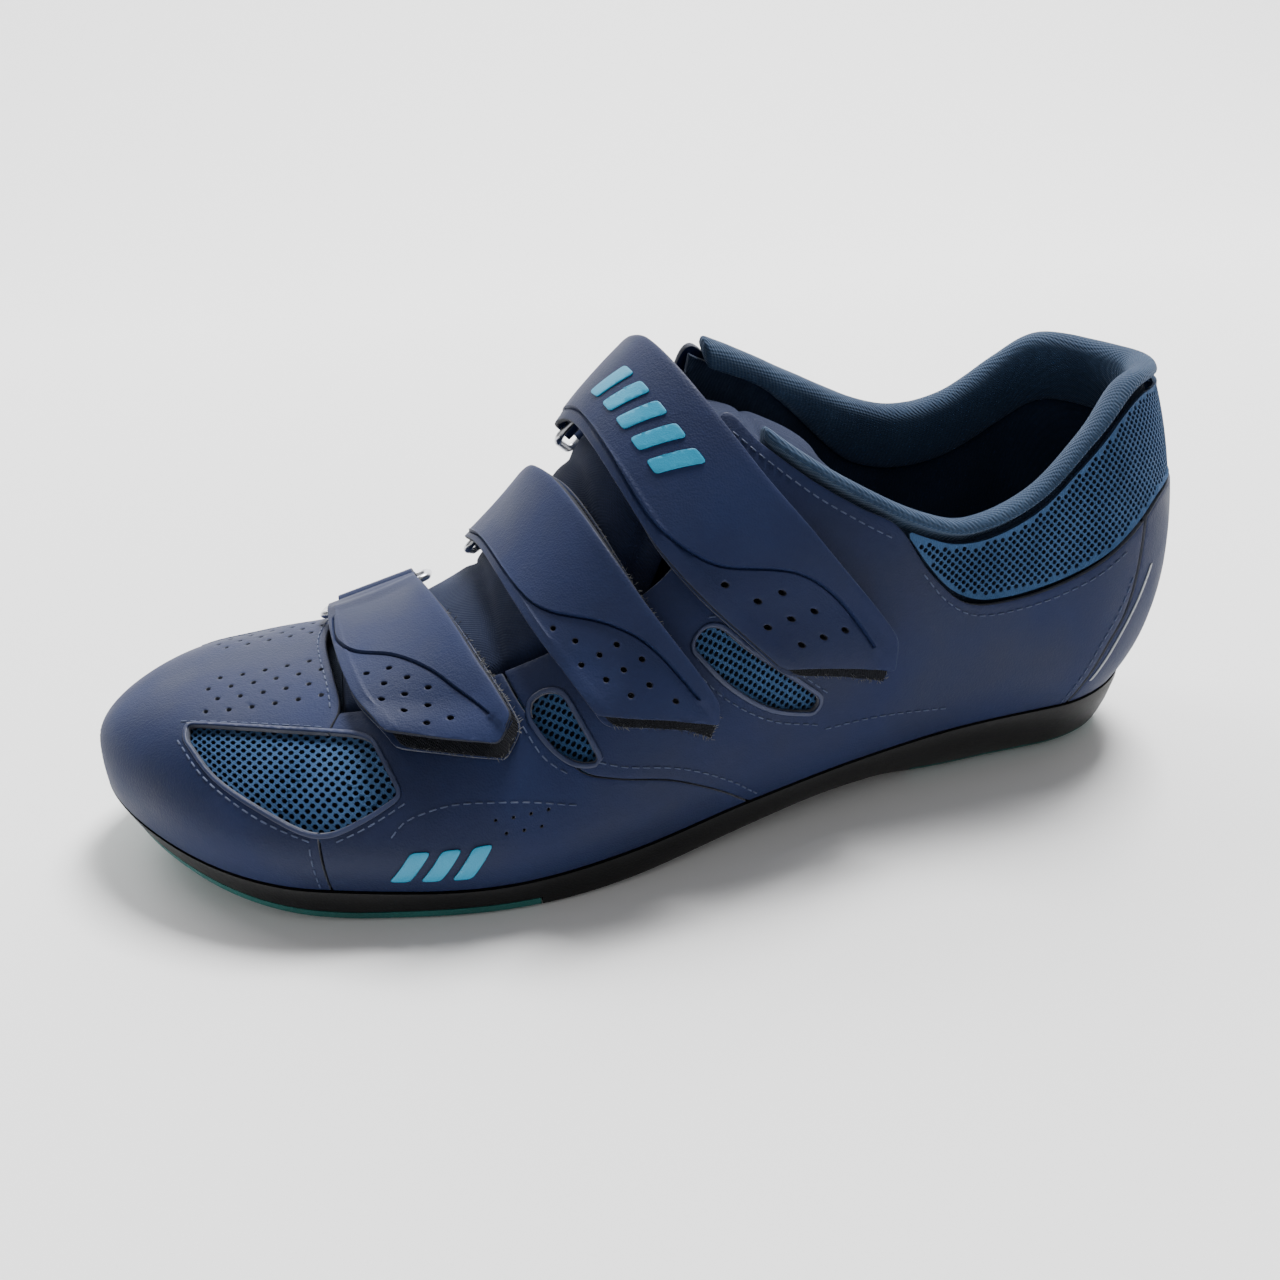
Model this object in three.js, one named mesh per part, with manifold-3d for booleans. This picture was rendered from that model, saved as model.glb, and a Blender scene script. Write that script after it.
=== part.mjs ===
// Left cycling shoe with three hook-and-loop straps, a stiff nylon outsole and rubber pads.
// Millimetres. Toe towards -X, heel towards +X, lateral side towards -Y, medial side towards +Y.
import * as THREE from 'three';
import { mergeVertices } from 'three/addons/utils/BufferGeometryUtils.js';
import Module from 'manifold-3d';

const wasm = await Module();
wasm.setup();

// ---------------------------------------------------------------- driving dimensions
const lastLength = 276;          // outer skin, toe tip to back of heel
const forefootWidth = 103;       // widest place, lateral to medial
const ankleHeight = 134;         // top of the foot form above the ground at the heel
const toeRound = 50;             // length over which the toe outline rounds off
const heelRound = 36;            // length over which the heel outline rounds off
const toeTipHeight = 7;          // height of the blunt toe tip
const toeRise = 32;              // length over which the top of the toe rounds up
const sideTuck = 0.07;           // how far the lower side tucks under, as a share of the half width
const sideTuckHeight = 14;

const overlayThickness = 1.4;    // smooth microfibre panels
const meshThickness = 0.9;       // knitted mesh inserts behind the windows
const liningThickness = 1.0;
const stiffenerThickness = 0.9;  // toe puff and heel counter
const layerGap = 0.3;            // clearance between neighbouring layers
const strapGap = 0.6;            // straps above the panels and the tongue
const seamGap = 0.5;             // clearance between panels that meet edge to edge
const meshMargin = 3;            // how far a mesh insert runs behind its window

const strapBaseThickness = 1.0;
const loopPatchThickness = 0.6;
const hookPatchThickness = 0.5;
const flapThickness = 1.9;
const sleeveThickness = 1.1;     // strap where it wraps round the wire ring
const wireRadius = 1.0;
const wireClearance = 0.3;
const ringPitch = 9.5;           // distance between the two long bars of a ring
const ringEndClearance = 1.2;    // strap edge to the ring's end bar
const ringCorner = 2.4;
const badgeThickness = 0.5;

const soleTopDrop = 0.4;         // outsole top under the edge of the last
const soleProud = 0.4;           // outsole edge beyond the upper
const padThickness = 2.6;        // rubber walking pads
const padGap = 0.3;
const boardThickness = 1.6;
const footbedThickness = 3.5;
const footbedCoverThickness = 0.8;
const filmThickness = 0.4;
const wallClearance = 0.4;       // board and footbed to the lining

const cleatAcross = 37.5;        // rear pair of the three-bolt pattern
const cleatAlong = 27;           // front bolt ahead of the rear pair
const cleatRearAt = 98;          // rear pair, from the toe tip
const insertRadius = 5;
const insertBore = 2.6;
const insertRecess = 2;
const nutSlotPitch = 14;         // two-bolt slots, centre to centre
const nutSlotWidth = 5.6;
const nutTravel = 6;             // nut plate, each way
const nutPlateLength = 13;
const nutPlateWidth = 23;
const nutPlateThickness = 2.5;
const nutClearance = 0.4;
const nutCentreAt = 91;
const nutPocketFloor = 4.2;

const tongueThickness = 4;
const tongueStart = 64;          // from the toe tip
const tongueEnd = 182;
const tongueWall = 4.2;          // depth of the lining's inner face that the tongue's width is drafted for
const rollHeight = 5;            // padded collar roll above the edge of the upper
const rollThickness = 7.6;

// Shape of the foot form. Stations are [distance from the toe tip, value] at the drafted size.
const draftLength = 276;
const draftWidth = 103;
const draftHeight = 134;
const centreLine = [[0, 12], [40, 9], [90, 6], [140, 6], [190, 2], [240, 0], [276, 0]];
const lateralWidth = [[0, 40], [30, 49], [60, 56], [90, 60], [120, 58], [150, 50], [180, 41], [210, 35],
  [250, 32], [276, 31]];
const medialWidth = [[0, 34], [30, 38], [60, 42], [85, 43], [110, 38], [140, 31], [175, 29], [210, 32],
  [250, 34], [276, 33]];
const featherHeight = [[0, 19], [30, 12], [60, 9], [90, 8], [120, 10], [160, 14], [200, 17], [240, 18],
  [276, 19]];
const ridgeHeight = [[0, 42], [20, 43], [40, 44], [70, 48], [90, 57], [105, 69], [118, 84], [130, 99],
  [145, 112], [160, 119], [180, 124], [220, 130], [250, 133], [276, 134]];
const roundness = [[0, 2.5], [50, 2.35], [90, 2.05], [130, 1.8], [170, 1.75], [220, 2.1], [276, 2.3]];
const soleHeight = [[0, 16], [15, 9], [35, 3], [58, 0], [96, -0.1], [115, 0.5], [140, 2.5], [165, 4.5],
  [185, 4], [200, 1], [213, 0], [262, 0], [272, 3], [276, 7]];
const soleShare = [[0, 0.95], [60, 0.97], [110, 0.97], [150, 0.93], [180, 0.85], [200, 0.75], [240, 0.7],
  [276, 0.7]];
const collarLateral = [[145, 105], [152, 99], [165, 88], [180, 78], [195, 70], [207, 67], [224, 72],
  [242, 85], [258, 94], [276, 95]];
const collarMedial = [[145, 112], [155, 106], [165, 101], [180, 93], [200, 83], [213, 80], [228, 82],
  [245, 90], [260, 97], [276, 95]];
const collarMeshDepth = [[190, 1.5], [196, 8], [205, 14], [224, 20], [240, 27], [253, 28], [264, 25],
  [276, 24]];

// ---------------------------------------------------------------- curves and the foot form
// Smooth curve through [position, value] stations, flat beyond its ends.
function profile(stations, at) {
  const last = stations.length - 1;
  if (at <= stations[0][0]) return stations[0][1];
  if (at >= stations[last][0]) return stations[last][1];
  let k = 0;
  while (stations[k + 1][0] < at) k += 1;
  const slope = (i) => {
    const a = stations[Math.max(i - 1, 0)];
    const b = stations[Math.min(i + 1, last)];
    return (b[1] - a[1]) / (b[0] - a[0]);
  };
  const [x0, y0] = stations[k];
  const [x1, y1] = stations[k + 1];
  const h = x1 - x0;
  const t = (at - x0) / h;
  const t2 = t * t;
  const t3 = t2 * t;
  return (2 * t3 - 3 * t2 + 1) * y0 + (t3 - 2 * t2 + t) * h * slope(k)
    + (3 * t2 - 2 * t3) * y1 + (t3 - t2) * h * slope(k + 1);
}

const clamp = THREE.MathUtils.clamp;
const lerp = THREE.MathUtils.lerp;
const smooth = (x) => THREE.MathUtils.smoothstep(x, 0, 1);
const drafted = (stations, u) => profile(stations, u * draftLength / lastLength);
const heightRatio = ankleHeight / draftHeight;
const widthRatio = forefootWidth / draftWidth;
const originX = 141 * lastLength / draftLength;

const roundOff = (distance, radius) => {
  if (distance >= radius) return 1;
  return Math.sqrt(Math.max(0, 1 - (1 - distance / radius) ** 2));
};
const feather = (u) => drafted(featherHeight, u);

// Cross-section of the foot form at u, the distance from the toe tip.
function section(u) {
  const toe = roundOff(u, toeRound);
  const heel = roundOff(lastLength - u, heelRound);
  const base = feather(u);
  const rise = base + (drafted(ridgeHeight, u) - base) * heightRatio;
  return {
    centre: drafted(centreLine, u),
    lateral: drafted(lateralWidth, u) * widthRatio * toe * heel,
    medial: drafted(medialWidth, u) * widthRatio * toe * heel,
    base,
    height: toeTipHeight + (rise - base - toeTipHeight) * roundOff(u, toeRise),
    power: drafted(roundness, u),
  };
}

// The heel leans forwards above and below its fullest point.
function heelLean(u, dz) {
  const blend = smooth((u - (lastLength - 80)) / 80);
  const low = clamp(1 - dz / 30, 0, 1);
  const high = clamp((dz - 30) / 55, 0, 1.5);
  return -blend * (8 * low * low + 13 * high * high);
}

// Angle 0 is the lateral feather edge, half a turn later the medial one.
function formPoint(u, angle) {
  const s = section(u);
  const across = Math.abs(Math.cos(angle)) ** (2 / s.power);
  const dz = Math.abs(Math.sin(angle)) ** (2 / s.power) * s.height;
  const low = 1 - clamp(dz / sideTuckHeight, 0, 1);
  const lateral = angle < Math.PI / 2;
  const y = across * (lateral ? s.lateral : s.medial) * (1 - sideTuck * low * low);
  return new THREE.Vector3(u - originX + heelLean(u, dz), s.centre + (lateral ? -y : y), s.base + dz);
}

// Girth table of one section, so that equal shares are equal lengths over the foot.
const girthSteps = 120;
const girthTables = new Map();
function girthTable(u) {
  const key = u.toFixed(3);
  if (girthTables.has(key)) return girthTables.get(key);
  const points = [];
  const run = [0];
  for (let i = 0; i <= girthSteps; i += 1) {
    points.push(formPoint(u, Math.PI * i / girthSteps));
    if (i > 0) run.push(run[i - 1] + points[i].distanceTo(points[i - 1]));
  }
  const half = run[girthSteps / 2];
  const total = run[girthSteps];
  const shares = run.map((r) => (r <= half ? r / half - 1 : (r - half) / (total - half)));
  const table = { points, shares, lateral: half, medial: total - half };
  girthTables.set(key, table);
  return table;
}

function lookUp(list, value) {
  let low = 0;
  let high = list.length - 1;
  while (high - low > 1) {
    const mid = (low + high) >> 1;
    if (list[mid] <= value) low = mid; else high = mid;
  }
  return low + (value - list[low]) / (list[high] - list[low]);
}

// Share -1 is the lateral feather edge, 0 the ridge, +1 the medial feather edge.
function barePoint(u, share) {
  const index = lookUp(girthTable(u).shares, clamp(share, -1, 1));
  return formPoint(u, Math.PI * index / girthSteps);
}

// Arc coordinate along the shoe: it runs evenly round the toe and the heel.
const toeArc = toeRound * Math.PI / 2;
const heelArc = heelRound * Math.PI / 2;
const arcLength = toeArc + (lastLength - toeRound - heelRound) + heelArc;
function arcAt(u) {
  if (u < toeRound) return toeRound * Math.acos(1 - Math.max(u, 0) / toeRound);
  const left = lastLength - u;
  if (left < heelRound) return arcLength - heelRound * Math.acos(1 - Math.max(left, 0) / heelRound);
  return toeArc + u - toeRound;
}
function stationAt(arc) {
  if (arc < toeArc) return toeRound * (1 - Math.cos(arc / toeRound));
  const left = arcLength - arc;
  if (left < heelArc) return lastLength - heelRound * (1 - Math.cos(left / heelRound));
  return toeRound + arc - toeArc;
}

const bareAt = (arc, share) => barePoint(stationAt(clamp(arc, 0, arcLength)), share);

function skinNormal(arc, share) {
  const along = bareAt(arc + 0.5, share).sub(bareAt(arc - 0.5, share));
  const over = bareAt(arc, Math.min(share + 0.006, 1)).sub(bareAt(arc, Math.max(share - 0.006, -1)));
  const normal = along.cross(over).normalize();
  const here = bareAt(arc, share);
  const s = section(stationAt(arc));
  const inside = new THREE.Vector3(here.x * 0.9, s.centre, s.base + Math.min(10, s.height / 2));
  if (normal.dot(here.clone().sub(inside)) < 0) normal.negate();
  if (arc < 0.05 || arc > arcLength - 0.05) normal.setY(0).normalize();
  return normal;
}

// Point at an offset outside (+) or inside (-) the skin. Past either end the arc carries on
// round to the other side of the shoe.
function skin(arc, share, offset) {
  let along = arc;
  let side = share;
  if (along < 0) {
    along = -along;
    side = -side;
  }
  if (along > arcLength) {
    along = 2 * arcLength - along;
    side = -side;
  }
  return bareAt(along, side).addScaledVector(skinNormal(along, side), offset);
}

// Share of girth at which the skin reaches height z, on side -1 (lateral) or +1 (medial).
function shareAtHeight(u, side, z) {
  const { points, shares } = girthTable(u);
  let low = 0;
  let high = 1;
  for (let i = 0; i < 24; i += 1) {
    const mid = (low + high) / 2;
    const at = lookUp(shares, side * mid);
    const k = Math.min(Math.floor(at), girthSteps - 1);
    const here = lerp(points[k].z, points[k + 1].z, at - k);
    if (here > z) low = mid; else high = mid;
  }
  return side * low;
}

const collarHeight = (u, side) => {
  const z = drafted(side < 0 ? collarLateral : collarMedial, u);
  return feather(u) + (z - feather(u)) * heightRatio;
};

// ---------------------------------------------------------------- closed meshes
// Welds the corners, drops collapsed triangles and turns the faces outwards.
function closedMesh(corners, triangles) {
  const raw = new THREE.BufferGeometry();
  raw.setAttribute('position', new THREE.Float32BufferAttribute(corners.flatMap((p) => [p.x, p.y, p.z]), 3));
  raw.setIndex(triangles);
  const welded = mergeVertices(raw, 1e-3);
  const position = welded.getAttribute('position');
  const index = [];
  const source = welded.getIndex();
  for (let i = 0; i < source.count; i += 3) {
    const [a, b, c] = [source.getX(i), source.getX(i + 1), source.getX(i + 2)];
    if (a !== b && b !== c && a !== c) index.push(a, b, c);
  }
  const [p, q, r] = [new THREE.Vector3(), new THREE.Vector3(), new THREE.Vector3()];
  let volume = 0;
  for (let i = 0; i < index.length; i += 3) {
    p.fromBufferAttribute(position, index[i]);
    q.fromBufferAttribute(position, index[i + 1]);
    r.fromBufferAttribute(position, index[i + 2]);
    volume += p.dot(q.cross(r));
  }
  if (volume < 0) index.reverse();
  welded.setIndex(index);
  return welded;
}

// Two facing grids joined by walls. A zipped end row folds onto itself and needs no wall.
function gridSolid(rows, columns, outer, inner, zipStart = false, zipEnd = false) {
  const corners = [];
  const width = columns + 1;
  const layer = (rows + 1) * width;
  for (const surface of [outer, inner]) {
    for (let i = 0; i <= rows; i += 1) {
      for (let j = 0; j <= columns; j += 1) corners.push(surface(i / rows, j / columns));
    }
  }
  const triangles = [];
  const quad = (a, b, c, d) => triangles.push(a, b, c, a, c, d);
  const at = (side, i, j) => side * layer + i * width + j;
  for (let i = 0; i < rows; i += 1) {
    for (let j = 0; j < columns; j += 1) {
      quad(at(0, i, j), at(0, i + 1, j), at(0, i + 1, j + 1), at(0, i, j + 1));
      quad(at(1, i, j), at(1, i, j + 1), at(1, i + 1, j + 1), at(1, i + 1, j));
    }
  }
  for (let i = 0; i < rows; i += 1) {
    quad(at(0, i + 1, 0), at(0, i, 0), at(1, i, 0), at(1, i + 1, 0));
    quad(at(0, i, columns), at(0, i + 1, columns), at(1, i + 1, columns), at(1, i, columns));
  }
  for (let j = 0; j < columns; j += 1) {
    if (!zipStart) quad(at(0, 0, j), at(0, 0, j + 1), at(1, 0, j + 1), at(1, 0, j));
    if (!zipEnd) quad(at(0, rows, j + 1), at(0, rows, j), at(1, rows, j), at(1, rows, j + 1));
  }
  return closedMesh(corners, triangles);
}

// Skin through a run of closed rings of equal count, with flat caps where asked.
function loft(rings, capShape = null) {
  const count = rings[0].length;
  const corners = rings.flat();
  const triangles = [];
  for (let i = 0; i + 1 < rings.length; i += 1) {
    for (let j = 0; j < count; j += 1) {
      const k = (j + 1) % count;
      const [a, b] = [i * count + j, i * count + k];
      triangles.push(a, a + count, b + count, a, b + count, b);
    }
  }
  if (capShape) {
    const end = (rings.length - 1) * count;
    const turn = Math.sign(THREE.ShapeUtils.area(capShape));
    for (const [a, second, third] of THREE.ShapeUtils.triangulateShape(capShape, [])) {
      const same = THREE.ShapeUtils.area([capShape[a], capShape[second], capShape[third]]) * turn > 0;
      const [b, c] = same ? [second, third] : [third, second];
      triangles.push(a, b, c, end + a, end + c, end + b);
    }
  }
  return closedMesh(corners, triangles);
}

function toSolid(geometry) {
  const plain = geometry.clone();
  plain.deleteAttribute('normal');
  plain.deleteAttribute('uv');
  const welded = mergeVertices(plain, 1e-4);
  const vertProperties = new Float32Array(welded.getAttribute('position').array);
  const triVerts = new Uint32Array(welded.getIndex().array);
  return new wasm.Manifold(new wasm.Mesh({ numProp: 3, vertProperties, triVerts }));
}

function toGeometry(solid) {
  const { vertProperties, triVerts } = solid.getMesh();
  const geometry = new THREE.BufferGeometry();
  geometry.setAttribute('position', new THREE.Float32BufferAttribute(vertProperties, 3));
  geometry.setIndex(Array.from(triVerts));
  return geometry;
}

const cut = (geometry, cutters) => {
  const left = cutters.reduce((solid, cutter) => solid.subtract(toSolid(cutter)), toSolid(geometry));
  return toGeometry(left);
};
const join = (first, others) => {
  const whole = others.reduce((solid, other) => solid.add(toSolid(other)), toSolid(first));
  return toGeometry(whole);
};

// ---------------------------------------------------------------- panels on the skin
// An edge is a smooth line through [distance from the toe tip, percent of girth] points.
function edge(points) {
  const placed = points.map(([u, percent]) => {
    const arc = u > lastLength ? 2 * arcLength - arcAt(2 * lastLength - u) : arcAt(u);
    return new THREE.Vector3(arc, percent, 0);
  });
  const curve = new THREE.CatmullRomCurve3(placed, false, 'centripetal');
  return (t) => curve.getPointAt(clamp(t, 0, 1));
}

// Four-sided patch between its bottom, top, front and back edges.
function patch(bottom, top, front, back) {
  const corner = [bottom(0), bottom(1), top(0), top(1)];
  return (s, r) => {
    const point = new THREE.Vector3();
    point.addScaledVector(bottom(s), 1 - r).addScaledVector(top(s), r);
    point.addScaledVector(front(r), 1 - s).addScaledVector(back(r), s);
    point.addScaledVector(corner[0], -(1 - s) * (1 - r)).addScaledVector(corner[1], -s * (1 - r));
    point.addScaledVector(corner[2], -(1 - s) * r).addScaledVector(corner[3], -s * r);
    return point;
  };
}

const line = (a, b) => edge([a, b]);
const band = (bottomPoints, topPoints) => {
  const end = (list) => list[list.length - 1];
  return patch(edge(bottomPoints), edge(topPoints), line(bottomPoints[0], topPoints[0]),
    line(end(bottomPoints), end(topPoints)));
};

// Side panels are drawn once and laid on either side of the shoe.
const onSide = (side) => (points) => points.map(([u, percent]) => [u, side * percent]);

function skinPanel(shape, rows, columns, outerOffset, thickness) {
  const point = (offset) => (s, r) => {
    const place = shape(s, r);
    return skin(place.x, place.y / 100, offset);
  };
  return gridSolid(rows, columns, point(outerOffset), point(outerOffset - thickness));
}

const lastScale = lastLength / draftLength;
const finer = (rows) => Math.round(rows * Math.max(lastScale, 1));
const scaled = (points) => points.map(([u, percent]) => [u * lastScale, percent]);
const inLayers = {
  mesh: -(overlayThickness + layerGap),
  lining: -(overlayThickness + 3 * layerGap + stiffenerThickness),
};
const liningInner = inLayers.lining - liningThickness;
const wallInset = wallClearance - liningInner;

// ---------------------------------------------------------------- assembly
const shoe = new THREE.Group();
const colours = {
  navy: 0x2f4677, navyMesh: 0x2c5580, lining: 0x3a5a86, roll: 0x4a6f9c, black: 0x111215, teal: 0x1d7f78,
  cyan: 0x3cbfdc, steel: 0xb8bcc0, board: 0x8b8272, foam: 0x24324a, hook: 0x10141c, stiff: 0xb9b4a6,
};
const finishes = {
  navy: [0.62, 0], navyMesh: [0.85, 0], lining: [0.9, 0], roll: [0.85, 0], black: [0.5, 0], teal: [0.6, 0],
  cyan: [0.4, 0], steel: [0.3, 1], board: [0.9, 0], foam: [0.9, 0], hook: [0.9, 0], stiff: [0.8, 0],
};
function add(name, geometry, finish) {
  const [roughness, metalness] = finishes[finish];
  const material = new THREE.MeshStandardMaterial({ color: colours[finish], roughness, metalness });
  const mesh = new THREE.Mesh(geometry, material);
  mesh.name = name;
  shoe.add(mesh);
}

// ---- windows and mesh inserts ------------------------------------------------------
// Each window lists its lower and upper edge for one side; the other side is its mirror image.
const windows = {
  toe: {
    low: [[26, 47], [32, 61], [42, 71], [53, 78], [62, 74], [70.5, 68]],
    high: [[25, 40], [36, 41.5], [48, 44.5], [57, 47], [63, 49], [67, 52]],
  },
  front: {
    low: [[100.5, 57], [104.5, 66], [109, 71.5], [113.5, 73.5]],
    high: [[101, 53.5], [103.5, 53], [106, 54], [108.5, 57]],
  },
  rear: {
    low: [[137, 61.5], [145, 72], [155, 80], [167, 84.5]],
    high: [[138.5, 59.5], [143, 60.5], [150, 67.5], [167.5, 82]],
  },
};
function grown(points, percent, ends) {
  const far = points.length - 1;
  const shift = (i) => (i === 0 ? -ends : i === far ? ends : 0);
  return points.map(([u, p], i) => [u + shift(i), p + percent]);
}
const cutterReach = 3;
const windowCutter = (name, side) => {
  const { low, high } = windows[name];
  const shape = band(onSide(side)(scaled(low)), onSide(side)(scaled(high)));
  return skinPanel(shape, 8, 3, cutterReach, overlayThickness + 2 * cutterReach);
};
const meshInsert = (name, side, rows, columns) => {
  const { low, high } = windows[name];
  const shape = band(onSide(side)(scaled(grown(low, meshMargin, meshMargin))),
    onSide(side)(scaled(grown(high, -meshMargin, meshMargin))));
  return skinPanel(shape, rows, columns, inLayers.mesh, meshThickness);
};
for (const [word, side] of [['lateral', -1], ['medial', 1]]) {
  add(`mesh_toe_${word}`, meshInsert('toe', side, 9, 6), 'navyMesh');
  add(`mesh_front_${word}`, meshInsert('front', side, 4, 4), 'navyMesh');
  add(`mesh_rear_${word}`, meshInsert('rear', side, 7, 3), 'navyMesh');
}

// ---- toe cap -----------------------------------------------------------------------
const capRear = [[-100, 53], [-79, 52.6], [-60, 54.5], [-47, 57], [-38, 59.8], [-25, 59], [0, 57],
  [25, 59], [38, 59.8], [47, 57], [60, 54.5], [79, 52.6], [100, 53]];
const capRearAt = (percent) => profile(capRear, percent) * lastScale;
const capSurface = (offset) => (s, r) => {
  const percent = lerp(-100, 100, r);
  return skin(s * arcAt(capRearAt(percent)), percent / 100, offset);
};
const toeCap = gridSolid(12, 20, capSurface(0), capSurface(-overlayThickness), true);
add('toe_cap', cut(toeCap, [windowCutter('toe', -1), windowCutter('toe', 1)]), 'navy');

const puffEnd = 17 * lastScale;
const puffSurface = (offset) => (s, r) => skin(s * arcAt(puffEnd), lerp(-0.97, 0.97, r), offset);
const puffOuter = -(overlayThickness + 1.5 * layerGap);
add('toe_puff', gridSolid(4, 12, puffSurface(puffOuter), puffSurface(puffOuter - stiffenerThickness), true),
  'stiff');

// ---- forefoot and quarter panels ---------------------------------------------------
// Seam between the forefoot panel and the quarter, from the feather edge up to the throat.
const midSeam = [[149, 100], [142, 93.5], [130, 85.5], [116, 78.5], [110, 74.5], [104.4, 66], [99, 54],
  [96, 43]];
const heelSeam = [[243, 100], [247, 88], [251, 81], [255, 73]];
const behind = (points, gap) => points.map(([u, p]) => [u + gap, p]);

function forefootPanel(side) {
  const place = onSide(side);
  const front = [100, 90, 79, 68, 57, 47, 40].map((p) => [profile(capRear, p) + seamGap, p]);
  const shape = patch(
    edge(place(scaled([front[0], midSeam[0]]))),
    edge(place(scaled([front[front.length - 1], [78, 41.5], midSeam[midSeam.length - 1]]))),
    edge(place(scaled(front))),
    edge(place(scaled(midSeam))),
  );
  const panel = skinPanel(shape, 10, 8, 0, overlayThickness);
  return cut(panel, [windowCutter('toe', side), windowCutter('front', side)]);
}

function quarterPanel(side) {
  const place = onSide(side);
  const percentAt = (u, z) => Math.abs(shareAtHeight(u, side, z)) * 100;
  const collarPercent = (u) => percentAt(u * lastScale, collarHeight(u * lastScale, side));
  const meshEdge = (u) => {
    const z = collarHeight(u * lastScale, side) - drafted(collarMeshDepth, u * lastScale);
    return percentAt(u * lastScale, z);
  };
  const start = [midSeam[midSeam.length - 1][0] + seamGap, midSeam[midSeam.length - 1][1]];
  const throat = [start, [115, 46], [132, 46.5], [143, 41]];
  const collar = [151, 158, 168, 179, 188].map((u) => [u, collarPercent(u) + 0.5]);
  const under = [196, 206, 222, 238, 250].map((u) => [u, meshEdge(u) + 0.5]);
  const corner = [255, meshEdge(255) + 0.5];
  const back = [...heelSeam.slice(0, -1), corner];
  const shape = patch(
    edge(place(scaled([[midSeam[0][0] + seamGap, 100], heelSeam[0]]))),
    edge(place(scaled([...throat, ...collar, ...under, corner]))),
    edge(place(scaled(behind(midSeam, seamGap)))),
    edge(place(scaled(back))),
  );
  const panel = skinPanel(shape, 20, 8, 0, overlayThickness);
  return cut(panel, [windowCutter('front', side), windowCutter('rear', side)]);
}
for (const [word, side] of [['lateral', -1], ['medial', 1]]) {
  add(`${word}_forefoot`, forefootPanel(side), 'navy');
  add(`${word}_quarter`, quarterPanel(side), 'navy');
}

// ---- heel --------------------------------------------------------------------------
// Rows run round the back of the shoe, from one side to the other.
function roundHeel(fromStation, rows, columns, lowShare, highShare, outerOffset, thickness) {
  const startAt = (side, r) => arcAt(fromStation(side, r));
  const point = (offset) => (s, r) => {
    const side = s < 0.5 ? -1 : 1;
    const t = Math.abs(2 * s - 1);
    const arc = lerp(arcLength, startAt(side, r), t);
    const u = stationAt(arc);
    const share = lerp(lowShare(u, side), highShare(u, side), r);
    return skin(arc, side * share, offset);
  };
  return gridSolid(rows, columns, point(outerOffset), point(outerOffset - thickness));
}
const meshLowShare = (u, side) => {
  const z = collarHeight(u, side) - drafted(collarMeshDepth, u);
  return Math.abs(shareAtHeight(u, side, z));
};
const collarShare = (u, side, dz = 0) => Math.abs(shareAtHeight(u, side, collarHeight(u, side) + dz));
const girthGap = 0.006;

const stayFront = [[0, 243], [30, 247], [55, 251], [80, 255], [100, 255]];
add('heel_stay', roundHeel((side, r) => profile(stayFront, r * 100) * lastScale + 2 * seamGap, 12, 6,
  () => 1, (u, side) => meshLowShare(u, side) + girthGap, 0, overlayThickness), 'navy');
add('heel_counter', roundHeel(() => 214 * lastScale, finer(16), 4, () => 0.97,
  (u, side) => meshLowShare(u, side) + 0.04, puffOuter, stiffenerThickness), 'stiff');
add('collar_mesh', roundHeel(() => 191 * lastScale, 28, 3,
  (u, side) => Math.max(meshLowShare(u, side) - girthGap, collarShare(u, side) + 2 * girthGap),
  (u, side) => collarShare(u, side) + girthGap, 0, overlayThickness), 'navyMesh');

// Padded roll: its section is drawn as [rise above the edge of the upper, offset from the skin].
const rollSection = [[0.3, -0.2], [0.35, 0.7], [0.75, 0.4], [0.97, -1.4], [1, -3.8], [0.8, -6],
  [0.3, -1.0], [-0.8, -1.04], [-2.4, -0.92], [-2.7, 0], [0.06, 0]];
function rollRing(arcFromHeel, side) {
  const arc = arcLength - arcFromHeel;
  const u = stationAt(arc);
  const fullness = smooth((u / lastScale - 165) / 35);
  return rollSection.map(([rise, depth], i) => {
    const inner = i >= 6;
    const dz = rise > 0 ? Math.max(rise * rollHeight, 0.3) : lerp(0.3, rise * rollHeight, fullness);
    let offset = inner ? depth * rollThickness : depth;
    if (i === 9 || i === 10) offset = liningInner - 2 * layerGap;
    const share = shareAtHeight(u, side, collarHeight(u, side) + dz);
    return skin(arc, share, offset);
  });
}
const rollRings = [];
const rollSteps = 20;
const rollStart = { [-1]: arcLength - arcAt(159 * lastScale), [1]: arcLength - arcAt(154 * lastScale) };
for (let i = -rollSteps; i <= rollSteps; i += 1) {
  const side = i <= 0 ? -1 : 1;
  rollRings.push(rollRing(rollStart[side] * Math.abs(i) / rollSteps, side));
}
const rollCap = rollSection.map(([rise, depth], i) =>
  new THREE.Vector2(rise, i >= 6 ? depth * rollThickness : depth));
add('collar_roll', loft(rollRings, rollCap), 'roll');

// ---- lining ------------------------------------------------------------------------
const liningFront = 60 * lastScale;
const vampSurface = (offset) => (s, r) => skin(s * arcAt(liningFront), lerp(-0.99, 0.99, r), offset);
add('lining_vamp', gridSolid(8, 14, vampSurface(inLayers.lining), vampSurface(liningInner), true), 'lining');
function sideLining(side) {
  const topShare = (u) => {
    const throat = profile([[60, 0.4], [96, 0.43], [115, 0.46], [132, 0.465], [143, 0.41], [152, 0.34]],
      u / lastScale);
    if (u < 150 * lastScale) return throat;
    return collarShare(u, side, -0.4);
  };
  const from = arcAt(liningFront) + seamGap;
  const to = arcLength - layerGap;
  const point = (offset) => (s, r) => {
    const arc = lerp(from, to, s);
    return skin(arc, side * lerp(0.99, topShare(stationAt(arc)), r), offset);
  };
  return gridSolid(finer(20), 6, point(inLayers.lining), point(liningInner));
}
add('lining_lateral', sideLining(-1), 'lining');
add('lining_medial', sideLining(1), 'lining');

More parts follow.
